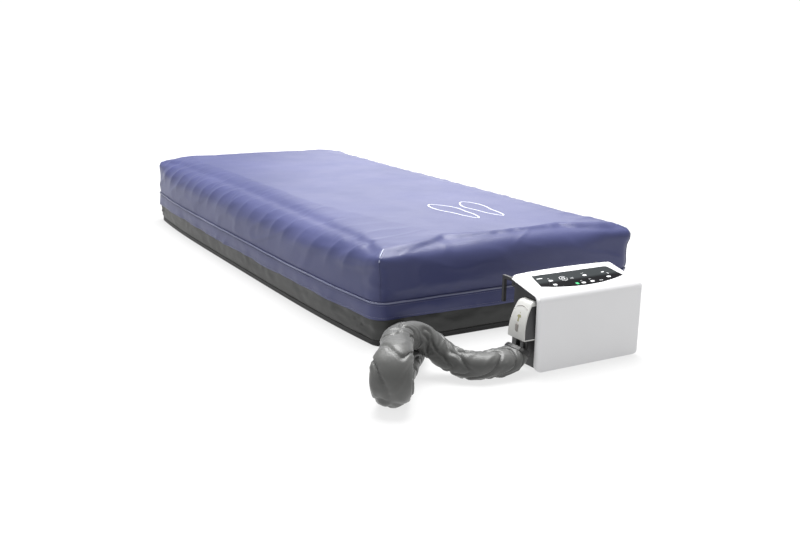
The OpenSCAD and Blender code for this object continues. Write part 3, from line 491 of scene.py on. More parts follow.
HOSE_A = [
    (-399, -1022, 45), (-399, -1032, 45), (-400, -1046, 41), (-404, -1076, 29), (-414, -1109, 18),
    (-435, -1145, 15), (-463, -1180, 15), (-495, -1218, 15), (-528, -1259, 15), (-563, -1302, 15),
    (-597, -1343, 15), (-628, -1379, 17), (-650, -1407, 29), (-662, -1423, 50), (-666, -1428, 76),
    (-662, -1423, 102), (-650, -1407, 122), (-628, -1380, 132), (-598, -1340, 127), (-568, -1296, 116),
    (-535, -1256, 105), (-498, -1232, 97), (-460, -1228, 86), (-428, -1243, 66), (-403, -1267, 42),
    (-378, -1293, 24), (-349, -1315, 16), (-316, -1325, 16), (-282, -1325, 17), (-254, -1322, 22),
    (-232, -1320, 32), (-217, -1319, 46), (-210.5, -1319, 62), (-209, -1319, 80), (-209, -1319, 94)]
HOSE_B = [
    (-377, -1022, 45), (-377, -1034, 45), (-378, -1048, 41), (-384, -1080, 29), (-398, -1117, 18),
    (-421, -1155, 15), (-449, -1192, 15), (-481, -1230, 15), (-514, -1271, 15), (-549, -1313, 15),
    (-583, -1354, 15), (-614, -1391, 17), (-636, -1417, 29), (-648, -1433, 50), (-652, -1438, 76),
    (-648, -1433, 102), (-636, -1417, 122), (-614, -1390, 132), (-583, -1350, 127), (-554, -1306, 116),
    (-523, -1270, 105), (-492, -1248, 97), (-462, -1246, 86), (-438, -1257, 66), (-415, -1279, 42),
    (-390, -1307, 24), (-357, -1333, 16), (-320, -1347, 16), (-282, -1351, 17), (-254, -1351, 22),
    (-232, -1351, 32), (-217, -1351, 46), (-210.5, -1351, 62), (-209, -1351, 80), (-209, -1351, 94)]
SLEEVE = [
    (-388, -1008, 45, 34, 26), (-388, -1036, 45, 34, 26), (-392, -1076, 42, 36, 30),
    (-404, -1112, 39, 38, 34), (-427, -1150, 38, 38, 35), (-456, -1186, 37, 38, 35),
    (-488, -1224, 37, 38, 35), (-521, -1265, 37, 38, 35), (-556, -1307, 37, 38, 35),
    (-590, -1348, 37, 38, 35), (-620, -1384, 38, 42, 35), (-635, -1402, 44, 46, 35),
    (-645, -1414, 58, 50, 35), (-649, -1419, 76, 52, 35), (-645, -1414, 95, 50, 35),
    (-635, -1402, 110, 46, 35), (-619, -1383, 116, 42, 36), (-590, -1343, 116, 40, 36),
    (-560, -1300, 115, 39, 36), (-529, -1263, 113, 38, 35), (-495, -1240, 110, 38, 35),
    (-461, -1236, 103, 38, 35), (-433, -1248, 84, 38, 35), (-409, -1272, 60, 38, 35),
    (-384, -1300, 44, 38, 35), (-353, -1325, 38, 40, 35), (-318, -1337, 37, 43, 35),
    (-282, -1339, 37, 44, 34), (-252, -1337, 41, 43, 32), (-229, -1336, 52, 40, 27),
    (-218, -1335, 66, 37, 20)]
HOSE_D = 12 * MM


def hoses():
    for name, route in (("air_hose_a", HOSE_A), ("air_hose_b", HOSE_B)):
        path = spline(np.array(route) * MM, 5)
        hose = tube(name + "_tube", path, HOSE_D / 2, 16, hose_rubber)
        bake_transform(hose)
        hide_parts(name)


hoses()

# ---------- Hose sleeve ----------

SLEEVE_SIDES = 96
SLEEVE_PARTS = 10
SLEEVE_T = 1.2 * MM
PUFF_SIZE = 0.085
CREASE_SIZE = 0.050
FOLD_SIZE = 0.024
COLLAR_ROWS = 9
COLLAR_SIDES = 64
COLLAR_T = 1.4 * MM
COLLAR_STANDS_OUT = 1.6 * MM


def level_sides(path):
    """A level side direction at each point of the path, carried along where it climbs."""
    side = Vector((1, 0, 0))
    found = []
    for i in range(len(path)):
        along = Vector(path[min(i + 1, len(path) - 1)]) - Vector(path[max(i - 1, 0)])
        along.normalize()
        flat = Vector((-along.y, along.x, 0))
        if flat.length < 0.35:
            side = (side - along * along.dot(side)).normalized()
        else:
            if flat.dot(side) < 0:
                flat.negate()
            side = side.lerp(flat.normalized(), 0.5).normalized()
            side = (side - along * along.dot(side)).normalized()
        found.append((along, side.copy()))
    return found


def hose_sleeve():
    """A loose fabric tube, gathered along the hoses, with puffs between slanting creases."""
    rows = spline(np.array(SLEEVE, float), SLEEVE_PARTS) * MM
    path, sizes = rows[:, :3], rows[:, 3:]
    frames = level_sides(path)
    along_so_far = np.concatenate([[0], np.cumsum(np.linalg.norm(np.diff(path, axis=0), axis=1))])
    total = along_so_far[-1]
    points = np.zeros((len(path) * SLEEVE_SIDES, 3))
    for i, (along, side) in enumerate(frames):
        up = along.cross(side)
        s = along_so_far[i]
        ends = min(1.0, s / 0.03, (total - s) / 0.03)
        for k in range(SLEEVE_SIDES):
            a = 2 * math.pi * k / SLEEVE_SIDES
            round_place = Vector((math.cos(a), math.sin(a), 0))
            slant = s + 0.030 * math.sin(a + 6.0 * s)
            puff = noise.noise(Vector((slant / PUFF_SIZE, 0.6 * round_place.x, 0.6 * round_place.y)))
            crease = noise.noise(Vector((slant / CREASE_SIZE, 0.8 * round_place.x, 0.8 * round_place.y + 3)))
            crease = max(0.0, 1 - abs(crease) - 0.84) / 0.16
            fold = noise.noise(Vector((slant / FOLD_SIZE, 0.5 * round_place.x + 5, 0.5 * round_place.y)))
            fold = max(0.0, 1 - abs(fold) - 0.80) / 0.20
            swell = 1 + ends * (0.17 * puff - 0.17 * crease ** 1.5 + 0.045 * fold)
            w, h = sizes[i] * swell
            points[i * SLEEVE_SIDES + k] = Vector(path[i]) + side * (w * math.cos(a)) + up * (h * math.sin(a))
    floor_gap = 1 * MM
    low = points[:, 2] < floor_gap + 4 * MM
    points[low, 2] = floor_gap + np.maximum(0, (points[low, 2] - floor_gap)) * 0.6
    points[:, 2] = np.maximum(points[:, 2], floor_gap)
    made = piece("hose_sleeve_cloth", points, grid_faces(len(path), SLEEVE_SIDES, True), sleeve_cloth)
    tidy_normals(made)
    thicken(made, SLEEVE_T)
    shade_smooth(made)
    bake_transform(made)
    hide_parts("hose_sleeve")


def sleeve_collar():
    """Black elastic band that gathers the sleeve's mouth under the air connector."""
    rows = spline(np.array(SLEEVE[-4:], float), SLEEVE_PARTS) * MM
    frames = level_sides(rows[:, :3])
    points = []
    first = len(rows) - COLLAR_ROWS
    for i in range(first, len(rows)):
        along, side = frames[i]
        up = along.cross(side)
        roll = 1.5 * MM * math.sin((i - first) / (COLLAR_ROWS - 1) * math.pi)
        for k in range(COLLAR_SIDES):
            a = 2 * math.pi * k / COLLAR_SIDES
            ribs = 0.5 * MM * math.cos(20 * a)
            w, h = rows[i, 3:] + COLLAR_STANDS_OUT + roll + ribs
            points.append(Vector(rows[i, :3]) + side * (w * math.cos(a)) + up * (h * math.sin(a)))
    made = piece("sleeve_collar", points, grid_faces(COLLAR_ROWS, COLLAR_SIDES, True), hose_rubber)
    tidy_normals(made)
    thicken(made, COLLAR_T)
    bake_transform(made)


hose_sleeve()
sleeve_collar()

# ---------- Top cover ----------

COVER_STEP = 13 * MM
COVER_CAP = 14 * MM
MATTRESS_H = 254 * MM
CORNER_TOP = MATTRESS_H + EDGE_LIFT
END_BULGE = 9 * MM
CLOTH_PRESSURE = 2.2
CLOTH_FRAMES = 22
CLOTH_SLACK = 0.012


def cover_lattice():
    """Points on the walls and top of a box in an even lattice, with the faces between them."""
    nx = 2 * round(HALF_W / COVER_STEP)
    ny = 2 * round(HALF_L / COVER_STEP)
    nz = round((cover_high.z - SEAM_Z) / COVER_STEP)
    index, points, faces = {}, [], []

    def at(i, j, k):
        key = (i, j, k)
        if key not in index:
            index[key] = len(points)
            points.append((i / nx * 2 - 1, j / ny * 2 - 1, k / nz))
        return index[key]

    for i in range(nx):
        for j in range(ny):
            faces.append((at(i, j, nz), at(i + 1, j, nz), at(i + 1, j + 1, nz), at(i, j + 1, nz)))
    for k in range(nz):
        for i in range(nx):
            faces.append((at(i, 0, k), at(i + 1, 0, k), at(i + 1, 0, k + 1), at(i, 0, k + 1)))
            faces.append((at(i + 1, ny, k), at(i, ny, k), at(i, ny, k + 1), at(i + 1, ny, k + 1)))
        for j in range(ny):
            faces.append((at(nx, j, k), at(nx, j + 1, k), at(nx, j + 1, k + 1), at(nx, j, k + 1)))
            faces.append((at(0, j + 1, k), at(0, j, k), at(0, j, k + 1), at(0, j + 1, k + 1)))
    return np.array(points), faces


def shape_cover(unit):
    """Bends the box lattice into the cover's form: round top edges, tight corners, a crown on top."""
    half = np.array([HALF_W, HALF_L])
    height = CORNER_TOP - SEAM_Z
    p = unit * [HALF_W, HALF_L, height]
    from_corner = np.hypot(*(half - np.abs(p[:, :2])).T)
    level = unit[:, 2]
    edge = EDGE_ROUND * (0.42 + 0.58 * smooth_step(from_corner, 0.02, 0.26))
    upright = PLAN_CORNER * (1.0 - 0.55 * smooth_step(level, 0.35, 1.0))
    # plan corners first, then the top edges
    inner = np.sign(p[:, :2]) * np.minimum(np.abs(p[:, :2]), half - upright[:, None])
    away = p[:, :2] - inner
    both = (np.abs(away) > 1e-9).all(axis=1)
    reach = np.maximum(np.abs(away).max(axis=1), 1e-9)
    length = np.maximum(np.hypot(*away.T), 1e-9)
    p[both, :2] = inner[both] + away[both] / length[both, None] * reach[both, None]
    side_gap = half - np.abs(p[:, :2])
    gap = side_gap.min(axis=1)
    top_gap = height - p[:, 2]
    a = np.clip(edge - gap, 0, None)
    b = np.clip(edge - top_gap, 0, None)
    longest = np.maximum(a, b)
    size = np.maximum(np.hypot(a, b), 1e-9)
    pull = np.where((a > 0) & (b > 0), longest / size, 1.0)
    nearest = side_gap.argmin(axis=1)
    for axis in (0, 1):
        mine = nearest == axis
        sign = np.sign(p[mine, axis])
        flat = np.clip(edge - gap, None, 0)[mine]
        p[mine, axis] = sign * (half[axis] - edge[mine] + a[mine] * pull[mine] + flat)
    p[:, 2] = np.where((a > 0) & (b > 0), height - edge + b * pull, p[:, 2])
    across = np.clip(np.abs(p[:, 0]) / HALF_W, 0, 1)
    lift = CROWN * (1 - across ** 2) * (1 - 0.35 * smooth_step(p[:, 1], 0.0, -HALF_L))
    p[:, 2] += lift * np.clip(p[:, 2] / height, 0, 1)
    p[:, 2] += SEAM_Z
    return p


def simulate_cloth(obj, pinned, pressure, frames, slack):
    """Lets the fabric swell under inner pressure with its seam held; the new points only move outward."""
    outward = vertex_rows(obj.data, "normal")
    before = vertex_rows(obj.data)
    group = obj.vertex_groups.new(name="held")
    for n, weight in enumerate(pinned):
        if weight > 0:
            group.add([n], float(weight), "REPLACE")
    cloth = obj.modifiers.new("cloth", "CLOTH")
    settings = cloth.settings
    settings.quality = 5
    settings.mass = 0.4
    settings.tension_stiffness = 25
    settings.compression_stiffness = 12
    settings.shear_stiffness = 8
    settings.bending_stiffness = 0.8
    settings.air_damping = 3
    settings.use_pressure = True
    settings.uniform_pressure_force = pressure
    settings.shrink_min = -slack
    settings.vertex_group_mass = "held"
    settings.effector_weights.gravity = 0
    cloth.collision_settings.use_collision = False
    cloth.point_cache.frame_start = 1
    cloth.point_cache.frame_end = frames
    for f in range(1, frames + 1):
        scene.frame_set(f)
    graph = bpy.context.evaluated_depsgraph_get()
    after = vertex_rows(obj.evaluated_get(graph).data)
    obj.modifiers.clear()
    scene.frame_set(1)
    shift = after - before
    inward = np.minimum((shift * outward).sum(axis=1), 0)
    return before + shift - outward * inward[:, None]


def cover_details(p):
    """Scallops over the air cells, slanting wrinkles by the corners, and raised, pinched corner ears."""
    half = np.array([HALF_W, HALF_L])
    gap_x = HALF_W - np.abs(p[:, 0])
    gap_y = HALF_L - np.abs(p[:, 1])
    level = (p[:, 2] - SEAM_Z) / (CORNER_TOP - SEAM_Z)
    inside = smooth_step(gap_y, 0.02, 0.14)
    slide = p[:, 1] + 0.25 * gap_x + 0.45 * (p[:, 2] - SEAM_Z) + 0.018 * cloud(p * [1, 1, 0], 0.25, 11.0)
    wave = 1 - 2 * np.abs(np.sin(math.pi * slide / CELL_PITCH)) ** 0.8
    scallop = wave * inside * (0.75 + 0.7 * cloud(p * [0, 1, 0], 0.35, 13.0))
    high_on_side = np.exp(-((level - 0.80) / 0.30) ** 2) * np.exp(-gap_x / 0.10)
    side_sign = np.sign(p[:, 0])
    p[:, 0] += side_sign * scallop * high_on_side * 2.4 * MM
    p[:, 2] += scallop * smooth_step(level, 0.7, 1.0) * (0.10 + 2.6 * np.exp(-gap_x / 0.06)) * MM
    # creases that run in from the edges over the top
    run = np.stack([p[:, 0] / 0.34 + p[:, 1] / 0.26, p[:, 1] / 0.075 - p[:, 0] / 0.16, 0 * p[:, 0]], axis=1)
    run = np.clip(1 - np.abs(cloud(run, 1.0, 17.0)) * 6, 0, 1)
    near_edge = np.exp(-np.minimum(gap_x, gap_y * 1.5) / 0.16)
    p[:, 2] += run * near_edge * smooth_step(level, 0.85, 1.0) * 2.0 * MM
    # slack, slanting folds in the walls
    from_corner = np.hypot(gap_x, gap_y)
    wall = (1 - smooth_step(level, 0.75, 1.05)) * smooth_step(level, 0.0, 0.12)
    x, y, z = p.T
    slant = np.stack([x / 0.17 + z / 0.15, y / 0.20 + z / 0.11, z / 0.13], axis=1)
    folds = np.maximum(cloud(slant, 1.0, 2.0), -0.3)
    ridges = 1 - np.abs(cloud(slant, 0.8, 5.0)) * 4
    near_corner = 1 + 1.4 * np.exp(-from_corner / 0.12)
    out = (3.4 * folds + 1.7 * np.clip(ridges, 0, 1)) * wall * near_corner * MM
    on_long = gap_x < gap_y
    p[on_long, 0] += (side_sign * out)[on_long]
    p[~on_long, 1] += (np.sign(p[:, 1]) * out)[~on_long]
    # low swells over the top
    top = smooth_step(level, 0.85, 1.0)
    p[:, 2] += top * 2.2 * MM * cloud(p, 0.32, 3.0) * smooth_step(from_corner, 0.0, 0.2)
    # ears: the pinched seam ends at the four top corners
    corner = np.sign(p[:, :2]) * (half - 10 * MM)
    reach = np.hypot(*(p[:, :2] - corner).T)
    ear = np.exp(-(reach / 0.030) ** 2) * smooth_step(level, 0.55, 0.95)
    p[:, :2] += np.sign(p[:, :2]) * (ear * 3 * MM)[:, None]
    p[:, 2] -= ear * 1 * MM
    dent = np.exp(-((reach - 0.060) / 0.025) ** 2) * smooth_step(level, 0.4, 0.9)
    p[:, 2] -= dent * 3 * MM
    at_end = (1 - np.clip(np.abs(p[:, 0]) / HALF_W, 0, 1) ** 4) * smooth_step(gap_y, 0.12, 0.0)
    p[:, 1] += np.sign(p[:, 1]) * at_end * smooth_step(level, 0.0, 0.4) * END_BULGE
    p[:, 2] = np.minimum(p[:, 2], TOP_LIMIT)
    return bowed(p)


def top_cover():
    unit, faces = cover_lattice()
    start = shape_cover(unit)
    made = piece("cover_top", start, faces, blue_cloth)
    tidy_normals(made)
    held = np.where(unit[:, 2] < 1e-6, 1.0, 0.0)
    shift = simulate_cloth(made, held, CLOTH_PRESSURE, CLOTH_FRAMES, CLOTH_SLACK) - start
    length = np.maximum(np.linalg.norm(shift, axis=1), 1e-9)
    start = start + shift * np.minimum(1, COVER_CAP / length)[:, None]
    place_vertices(made, start)
    made.vertex_groups.clear()
    modifier(made, "SUBSURF", levels=1, render_levels=1)
    apply_modifiers(made)
    place_vertices(made, cover_details(vertex_rows(made.data)))
    shade_smooth(made)
    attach(made, "root")
    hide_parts("top_cover")
    return made


cover = top_cover()

# ---------- Flap, seam and base ----------

FABRIC_T = 1.5 * MM
BAND_STEP = 12 * MM
RAY_START = 0.1
WALL_LOW = 13 * MM


def way_round(inset):
    """Length of a fabric band round the mattress."""
    outline, _ = plan_outline(inset, BAND_STEP)
    return path_length(np.vstack([outline, outline[:1]]))


def flap():
    levels = np.linspace(SEAM_Z, flap_low.z, 9)

    def shape(p, sides):
        down = (SEAM_Z - p[:, 2]) / (SEAM_Z - flap_low.z)
        waves = cloud(p * [1, 1, 2.5] + np.outer(p[:, 2], [0, 0.8, 0]), 0.16, 4.0)
        small = cloud(p * [1, 1, 1.5], 0.05, 6.0)
        creases = cloud(p * [1, 1, 0.6] + np.outer(p[:, 2], [0, 1.2, 0]), 0.13, 31.0)
        creases = np.clip(1 - np.abs(creases) * 5, 0, 1)
        loose = (6.0 * waves + 2.0 * small + 3.0 * creases) * down
        out = (2.0 + loose + 1.5 * np.sin(down * math.pi)) * MM
        rise = -down * 4.5 * MM * cloud(p * [1, 1, 0], 0.30, 8.0)
        return out, rise

    made = curtain("cover_zip_flap", 0, levels, BAND_STEP, shape, blue_cloth)
    tidy_normals(made)
    thicken(made, FABRIC_T)
    shade_smooth(made)
    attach(made, "root")
    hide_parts("zip_flap")
    around = way_round(0)
    return made


def seam_piping():
    outline, outward = plan_outline(0, 10 * MM)
    ripple = 1.2 * MM * cloud(np.column_stack([outline, 0 * outline[:, 0]]), 0.11, 21.0)
    path = bowed(np.column_stack([outline + outward * 3.2 * MM, SEAM_Z + 0.5 * MM + ripple]))
    # the piping is lighter than the cover: painted highlight along the seam ridge
    made = tube("cover_seam_piping", path, 2.6 * MM, 10, seam_highlight_cloth, closed=True)
    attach(made, "root")


def base_wall():
    low, high = WALL_LOW, wall_high.z
    inset = HALF_W - wall_high.x
    levels = np.linspace(high, low, 13)

    def shape(p, sides):
        mid = np.sin((p[:, 2] - low) / (high - low) * math.pi)
        slant = np.stack([p[:, 0] / 0.15, p[:, 1] / 0.15 + p[:, 2] / 0.10, p[:, 2] / 0.06], axis=1)
        corner = np.exp(-np.hypot(HALF_W - np.abs(p[:, 0]), HALF_L - np.abs(p[:, 1])) / 0.10)
        folds = cloud(slant, 1.0, 9.0)
        sharp = 1 - np.abs(cloud(slant * 2.2, 1.0, 12.0)) * 2.5
        out = mid * (2.0 + 3.5 * folds + (1 + 3.5 * corner) * 3.0 * np.clip(sharp, 0, 1)) * MM
        return out, np.zeros(len(p))

    made = curtain("base_cover_wall", inset, levels, BAND_STEP, shape, grey_cloth)
    tidy_normals(made)
    thicken(made, FABRIC_T)
    shade_smooth(made)
    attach(made, "root")
    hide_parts("base_cover")
    around = way_round(inset)


def base_wrap():
    inset = HALF_W - wrap_high.x
    outline, outward = plan_outline(inset, BAND_STEP)
    count = len(outline)
    profile = [(-1.0, 17.0), (1.4, 16.5), (2.2, 15.0), (1.6, 13.0),
               (1.8, 7.0), (2.2, 3.0), (0.5, 0.4), (-8.0, 0.0)]
    points = []
    for out, z in profile:
        ripple = 0.8 * MM * cloud(np.column_stack([outline, np.full(count, z * MM)]), 0.08, 14.0)
        ripple *= 1.0 if 4 < z < 15 else 0.0
        for (x, y), (ox, oy), extra in zip(outline, outward, ripple):
            points.append((x + ox * (out * MM + extra), y + oy * (out * MM + extra), z * MM))
    faces = grid_faces(len(profile), count, True)
    faces.append(tuple((len(profile) - 1) * count + k for k in range(count)))
    made = piece("base_wrap", bowed(np.array(points)), faces, black_cloth)
    tidy_normals(made)
    thicken(made, FABRIC_T)
    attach(made, "root")
    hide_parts("base_panel")


def skin_place(obj, x, y, z, dx, dy, dz):
    """Where a ray first meets the piece, or None."""
    hit, place, _, _ = obj.ray_cast(Vector((x, y, z)), Vector((dx, dy, dz)).normalized())
    return place if hit else None


def corner_seams():
    """The raised seam that runs over each top corner and down to the piping."""
    for n, (sx, sy) in enumerate(((-1, -1), (1, -1), (1, 1), (-1, 1))):
        path = []
        for back in (34, 26, 18, 11):
            x, y = sx * (HALF_W - back * MM), sy * (HALF_L - back * MM)
            place = skin_place(cover, x, y, 1, 0, 0, -1)
            path.append(place + Vector((0, 0, 0.8 * MM)))
        for z in np.arange(0.244, SEAM_Z, -0.009):
            place = skin_place(cover, sx * (HALF_W + 0.2), sy * (HALF_L + 0.2), z, -sx, -sy, 0)
            path.append(place + Vector((sx, sy, 0)) * 0.6 * MM)
        made = tube(f"corner_seam_{n}", spline(path, 3), 1.2 * MM, 8, blue_cloth)
        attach(made, "root")
        # the ear tubes use the pale cloth: a painted highlight on the pinched corner seams
        made = tube(f"corner_ear_{n}", spline(path[:5], 4), 1.9 * MM, 8, ear_highlight_cloth)
        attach(made, "root")


def stitch_tree():
    """Nodes that lay short stitches along the edges of a piece."""
    tree = bpy.data.node_groups.new("stitch_row", "GeometryNodeTree")
    face = tree.interface
    face.new_socket("Geometry", in_out="INPUT", socket_type="NodeSocketGeometry")
    for label, value in (("Spacing", 7 * MM), ("Stitch Length", 4.4 * MM), ("Thread Radius", 0.5 * MM)):
        face.new_socket(label, in_out="INPUT", socket_type="NodeSocketFloat").default_value = value
    face.new_socket("Thread", in_out="INPUT", socket_type="NodeSocketMaterial")
    face.new_socket("Geometry", in_out="OUTPUT", socket_type="NodeSocketGeometry")
    inputs = tree.nodes.new("NodeGroupInput").outputs
    to_curve = tree.nodes.new("GeometryNodeMeshToCurve")
    row = tree.nodes.new("GeometryNodeResampleCurve")
    row.mode = "LENGTH"
    tangent = tree.nodes.new("GeometryNodeInputTangent")
    turn = tree.nodes.new("FunctionNodeAlignRotationToVector")
    turn.axis = "Z"
    stitch = tree.nodes.new("GeometryNodeMeshCylinder")
    stitch.inputs["Vertices"].default_value = 6
    lay = tree.nodes.new("GeometryNodeInstanceOnPoints")
    real = tree.nodes.new("GeometryNodeRealizeInstances")
    colour = tree.nodes.new("GeometryNodeSetMaterial")
    out = tree.nodes.new("NodeGroupOutput")
    for start, end in (
            (inputs["Geometry"], to_curve.inputs["Mesh"]),
            (to_curve.outputs["Curve"], row.inputs["Curve"]),
            (inputs["Spacing"], row.inputs["Length"]),
            (row.outputs["Curve"], lay.inputs["Points"]),
            (tangent.outputs["Tangent"], turn.inputs["Vector"]),
            (turn.outputs["Rotation"], lay.inputs["Rotation"]),
            (inputs["Thread Radius"], stitch.inputs["Radius"]),
            (inputs["Stitch Length"], stitch.inputs["Depth"]),
            (stitch.outputs["Mesh"], lay.inputs["Instance"]),
            (lay.outputs["Instances"], real.inputs["Geometry"]),
            (real.outputs["Geometry"], colour.inputs["Geometry"]),
            (inputs["Thread"], colour.inputs["Material"]),
            (colour.outputs["Geometry"], out.inputs["Geometry"])):
        tree.links.new(start, end)
    return tree


def stitch_row(name, cloth, z, thread):
    """A row of stitches round the mattress on a fabric band."""
    outline, outward = plan_outline(0, 9 * MM)
    round_place = bowed(np.column_stack([outline, np.full(len(outline), z)]))
    points = []
    for (x, y, _), (ox, oy) in zip(round_place, outward):
        place = skin_place(cloth, x + ox * RAY_START, y + oy * RAY_START, z, -ox, -oy, 0)
        if place is not None:
            points.append(place + Vector((ox, oy, 0)) * 0.2 * MM)
    mesh = bpy.data.meshes.new(name)
    mesh.from_pydata(points, [(i, (i + 1) % len(points)) for i in range(len(points))], [])
    made = new_object(name, mesh)
    nodes = modifier(made, "NODES", node_group=STITCHES)
    for item in STITCHES.interface.items_tree:
        if item.name == "Thread":
            nodes[item.identifier] = thread
    apply_modifiers(made)
    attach(made, "root")


flap_cloth = flap()
seam_piping()
base_wall()
base_wrap()
corner_seams()
STITCHES = stitch_tree()
# the stitch thread uses the same lighter seam cloth: painted highlight
stitch_row("flap_hem_stitches", flap_cloth, flap_low.z + 8 * MM, seam_highlight_cloth)
stitch_row("flap_top_stitches", flap_cloth, SEAM_Z - 7 * MM, seam_highlight_cloth)

# ---------- Foot-end mark on the cover ----------

SOLES_PLACE = (0.078, -0.651)
SOLE_LENGTH = 258 * MM
SOLE_WIDTH = 82 * MM


def cover_height(x, y):
    """Height of the finished cover under a point of its top."""
    hit, place, _, _ = cover.ray_cast(Vector((x, y, 1)), Vector((0, 0, -1)))
    return place.z if hit else cover_high.z


def sole_outline(cx, cy, lean, mirrored):
    """Closed outline of a shoe sole, heel to toe."""
    points = []
    for i in range(72):
        a = 2 * math.pi * i / 72
        along = -math.cos(a)
        waist = 0.80 + 0.20 * math.cos((along - 0.5) * 2.2) - 0.16 * math.exp(-((along + 0.15) / 0.32) ** 2)
        x = math.sin(a) * SOLE_WIDTH / 2 * waist
        x += mirrored * 7 * MM * along * along
        y = along * SOLE_LENGTH / 2
        points.append((cx + x * math.cos(lean) - y * math.sin(lean),
                       cy + x * math.sin(lean) + y * math.cos(lean)))
    return points


def ribbon(outline, width, lift):
    """A flat closed band along an outline, laid on the cover."""
    count = len(outline)
    points, faces = [], []
    for i, (x, y) in enumerate(outline):
        ax, ay = outline[i - 1]
        bx, by = outline[(i + 1) % count]
        along = Vector((bx - ax, by - ay)).normalized()
        side = Vector((along.y, -along.x))
        for out in (-0.5, 0.5):
            px, py = x + side.x * width * out, y + side.y * width * out
            points.append((px, py, cover_height(px, py) + lift))
    for i in range(count):
        k = (i + 1) % count
        faces.append((2 * i, 2 * i + 1, 2 * k + 1, 2 * k))
    return points, faces


def sole_mark():
    """A generic pair of shoe soles that marks the foot end."""
    points, faces = [], []
    for side in (-1, 1):
        outline = sole_outline(SOLES_PLACE[0] + side * 50 * MM, SOLES_PLACE[1], math.radians(-4 * side), side)
        more, bands = ribbon(outline, 4 * MM, 0.6 * MM)
        faces += [tuple(n + len(points) for n in f) for f in bands]
        points += more
    made = piece("foot_end_mark", points, faces, sole_ink)
    face_up(made)
    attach(made, "root")


sole_mark()

# ---------- Hard parts ----------

FINISHES = {
    "base_black": black_cloth, "base_grey": grey_cloth, "zip_tape": black_cloth, "zip_teeth": black_plastic,
    "slider_metal": steel, "cover_blue": blue_cloth, "foam": foam,
    "cell_film": clear_film, "air_line": clear_film,
    "fitting": key_plastic, "cpr_red": red_plastic, "pump_white": white_shell, "pump_grey": charcoal,
    "rubber_black": foot_rubber, "steel": steel, "panel_black": smoked_panel, "key_grey": key_plastic,
    "lamp_green": green_lamp, "board_green": board_green, "compressor_alloy": alloy, "coil_copper": copper,
    "valve_cream": valve_plastic, "inner_hose": clear_film, "fitting_black": black_plastic,
    "rocker_green": green_rocker, "filter_foam": filter_foam, "connector_white": connector_white,
    "button_grey": button_grey, "hose_black": hose_rubber, "sleeve_grey": sleeve_cloth}
SLOT_OF = {row["node"]: row["material_slot"] for row in frame["record"]["subparts"]}

for node_name, node in frame["nodes"].items():
    node.data.materials.clear()
    node.data.materials.append(FINISHES[SLOT_OF[node_name]])

BEVEL_ANGLE = 35
SHARP_ANGLE = 38
BODY_OF = {node: body for body, nodes in frame["record"]["behaviour"]["bodies"].items() for node in nodes}


def bevelled(node_name, width, segments=3):
    """A finished copy of a CAD node: its facets joined into one skin and its sharp edges rounded."""
    source = frame["nodes"][node_name]
    mesh = source.data.copy()
    made = new_object(node_name + "_finished", mesh)
    work = bmesh.new()
    work.from_mesh(mesh)
    bmesh.ops.remove_doubles(work, verts=work.verts, dist=2e-6)
    bmesh.ops.dissolve_limit(work, angle_limit=math.radians(0.6), verts=work.verts, edges=work.edges)
    work.to_mesh(mesh)
    work.free()
    modifier(made, "BEVEL", width=width, segments=segments, limit_method="ANGLE",
             angle_limit=math.radians(BEVEL_ANGLE), harden_normals=False, miter_outer="MITER_ARC")
    apply_modifiers(made)
    shade_smooth(made)
    made.data.set_sharp_from_angle(angle=math.radians(SHARP_ANGLE))
    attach(made, BODY_OF[node_name])
    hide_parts(node_name)
    return made


EDGE_ROUNDS = (
    ("pump_shell", 1.0, 3), ("pump_chassis", 0.8, 2), ("rear_cover", 0.8, 2), ("connector_hood", 0.9, 3),
    ("release_button", 0.8, 3), ("hook_left", 1.2, 3), ("hook_right", 1.2, 3), ("control_panel", 0.15, 1),
    ("mute_key", 0.4, 3), ("lock_key", 0.4, 3), ("mode_key", 0.4, 3), ("static_key", 0.4, 3),
    ("firmer_key", 0.4, 3), ("softer_key", 0.4, 3), ("status_light", 0.4, 3), ("power_inlet", 0.6, 2),
    ("switch_housing", 0.6, 2), ("switch_rocker", 0.4, 2), ("filter_cover", 0.5, 2), ("cpr_valve", 0.6, 2),
    ("cpr_knob", 0.6, 2), ("hose_port", 0.6, 2), ("pump_feet", 0.8, 2))
for rounded_node, width_mm, bevel_parts in EDGE_ROUNDS:
    bevelled(rounded_node, width_mm * MM, bevel_parts)


CHEEK_AREA = 400 * MM * MM


def darken_cheeks(obj, rim, depth):
    """Sinks the hood's two flat sides behind a pale rim and makes them dark."""
    obj.data.materials.append(charcoal)
    work = bmesh.new()
    work.from_mesh(obj.data)
    work.normal_update()
    flats = [f for f in work.faces if abs(f.normal.y) > 0.93 and f.calc_area() > CHEEK_AREA]
    for face in flats:
        bmesh.ops.inset_region(work, faces=[face], thickness=rim, depth=-depth)
        face.material_index = 1
    work.to_mesh(obj.data)
    work.free()


darken_cheeks(bpy.data.objects["connector_hood_finished"], 3 * MM, 1 * MM)

# ---------- Printed symbols on the pump ----------

INK_LIFT = 0.12 * MM
PANEL_RISE = 0.2 * MM


def on_top(x, s, lift=PANEL_RISE + INK_LIFT):
    """A point on the sloping top: x across, s up the slope, in millimetres."""
    y = PUMP_FRONT + s * MM * math.cos(TOP_SLOPE) - lift * math.sin(TOP_SLOPE)
    z = TOP_FRONT_Z + s * MM * math.sin(TOP_SLOPE) + lift * math.cos(TOP_SLOPE)
    return (PUMP_X + x * MM, y, z)


def ink_ring(cx, cs, radius, width, start=0, sweep=360, parts=40):
    """Points and faces of a ring or an arc printed on the sloping top."""
    points, faces = [], []
    for i in range(parts + 1):
        a = math.radians(start + sweep * i / parts)
        for r in (radius - width / 2, radius + width / 2):
            points.append(on_top(cx + r * math.cos(a), cs + r * math.sin(a)))
    for i in range(parts):
        faces.append((2 * i, 2 * i + 1, 2 * i + 3, 2 * i + 2))
    return points, faces


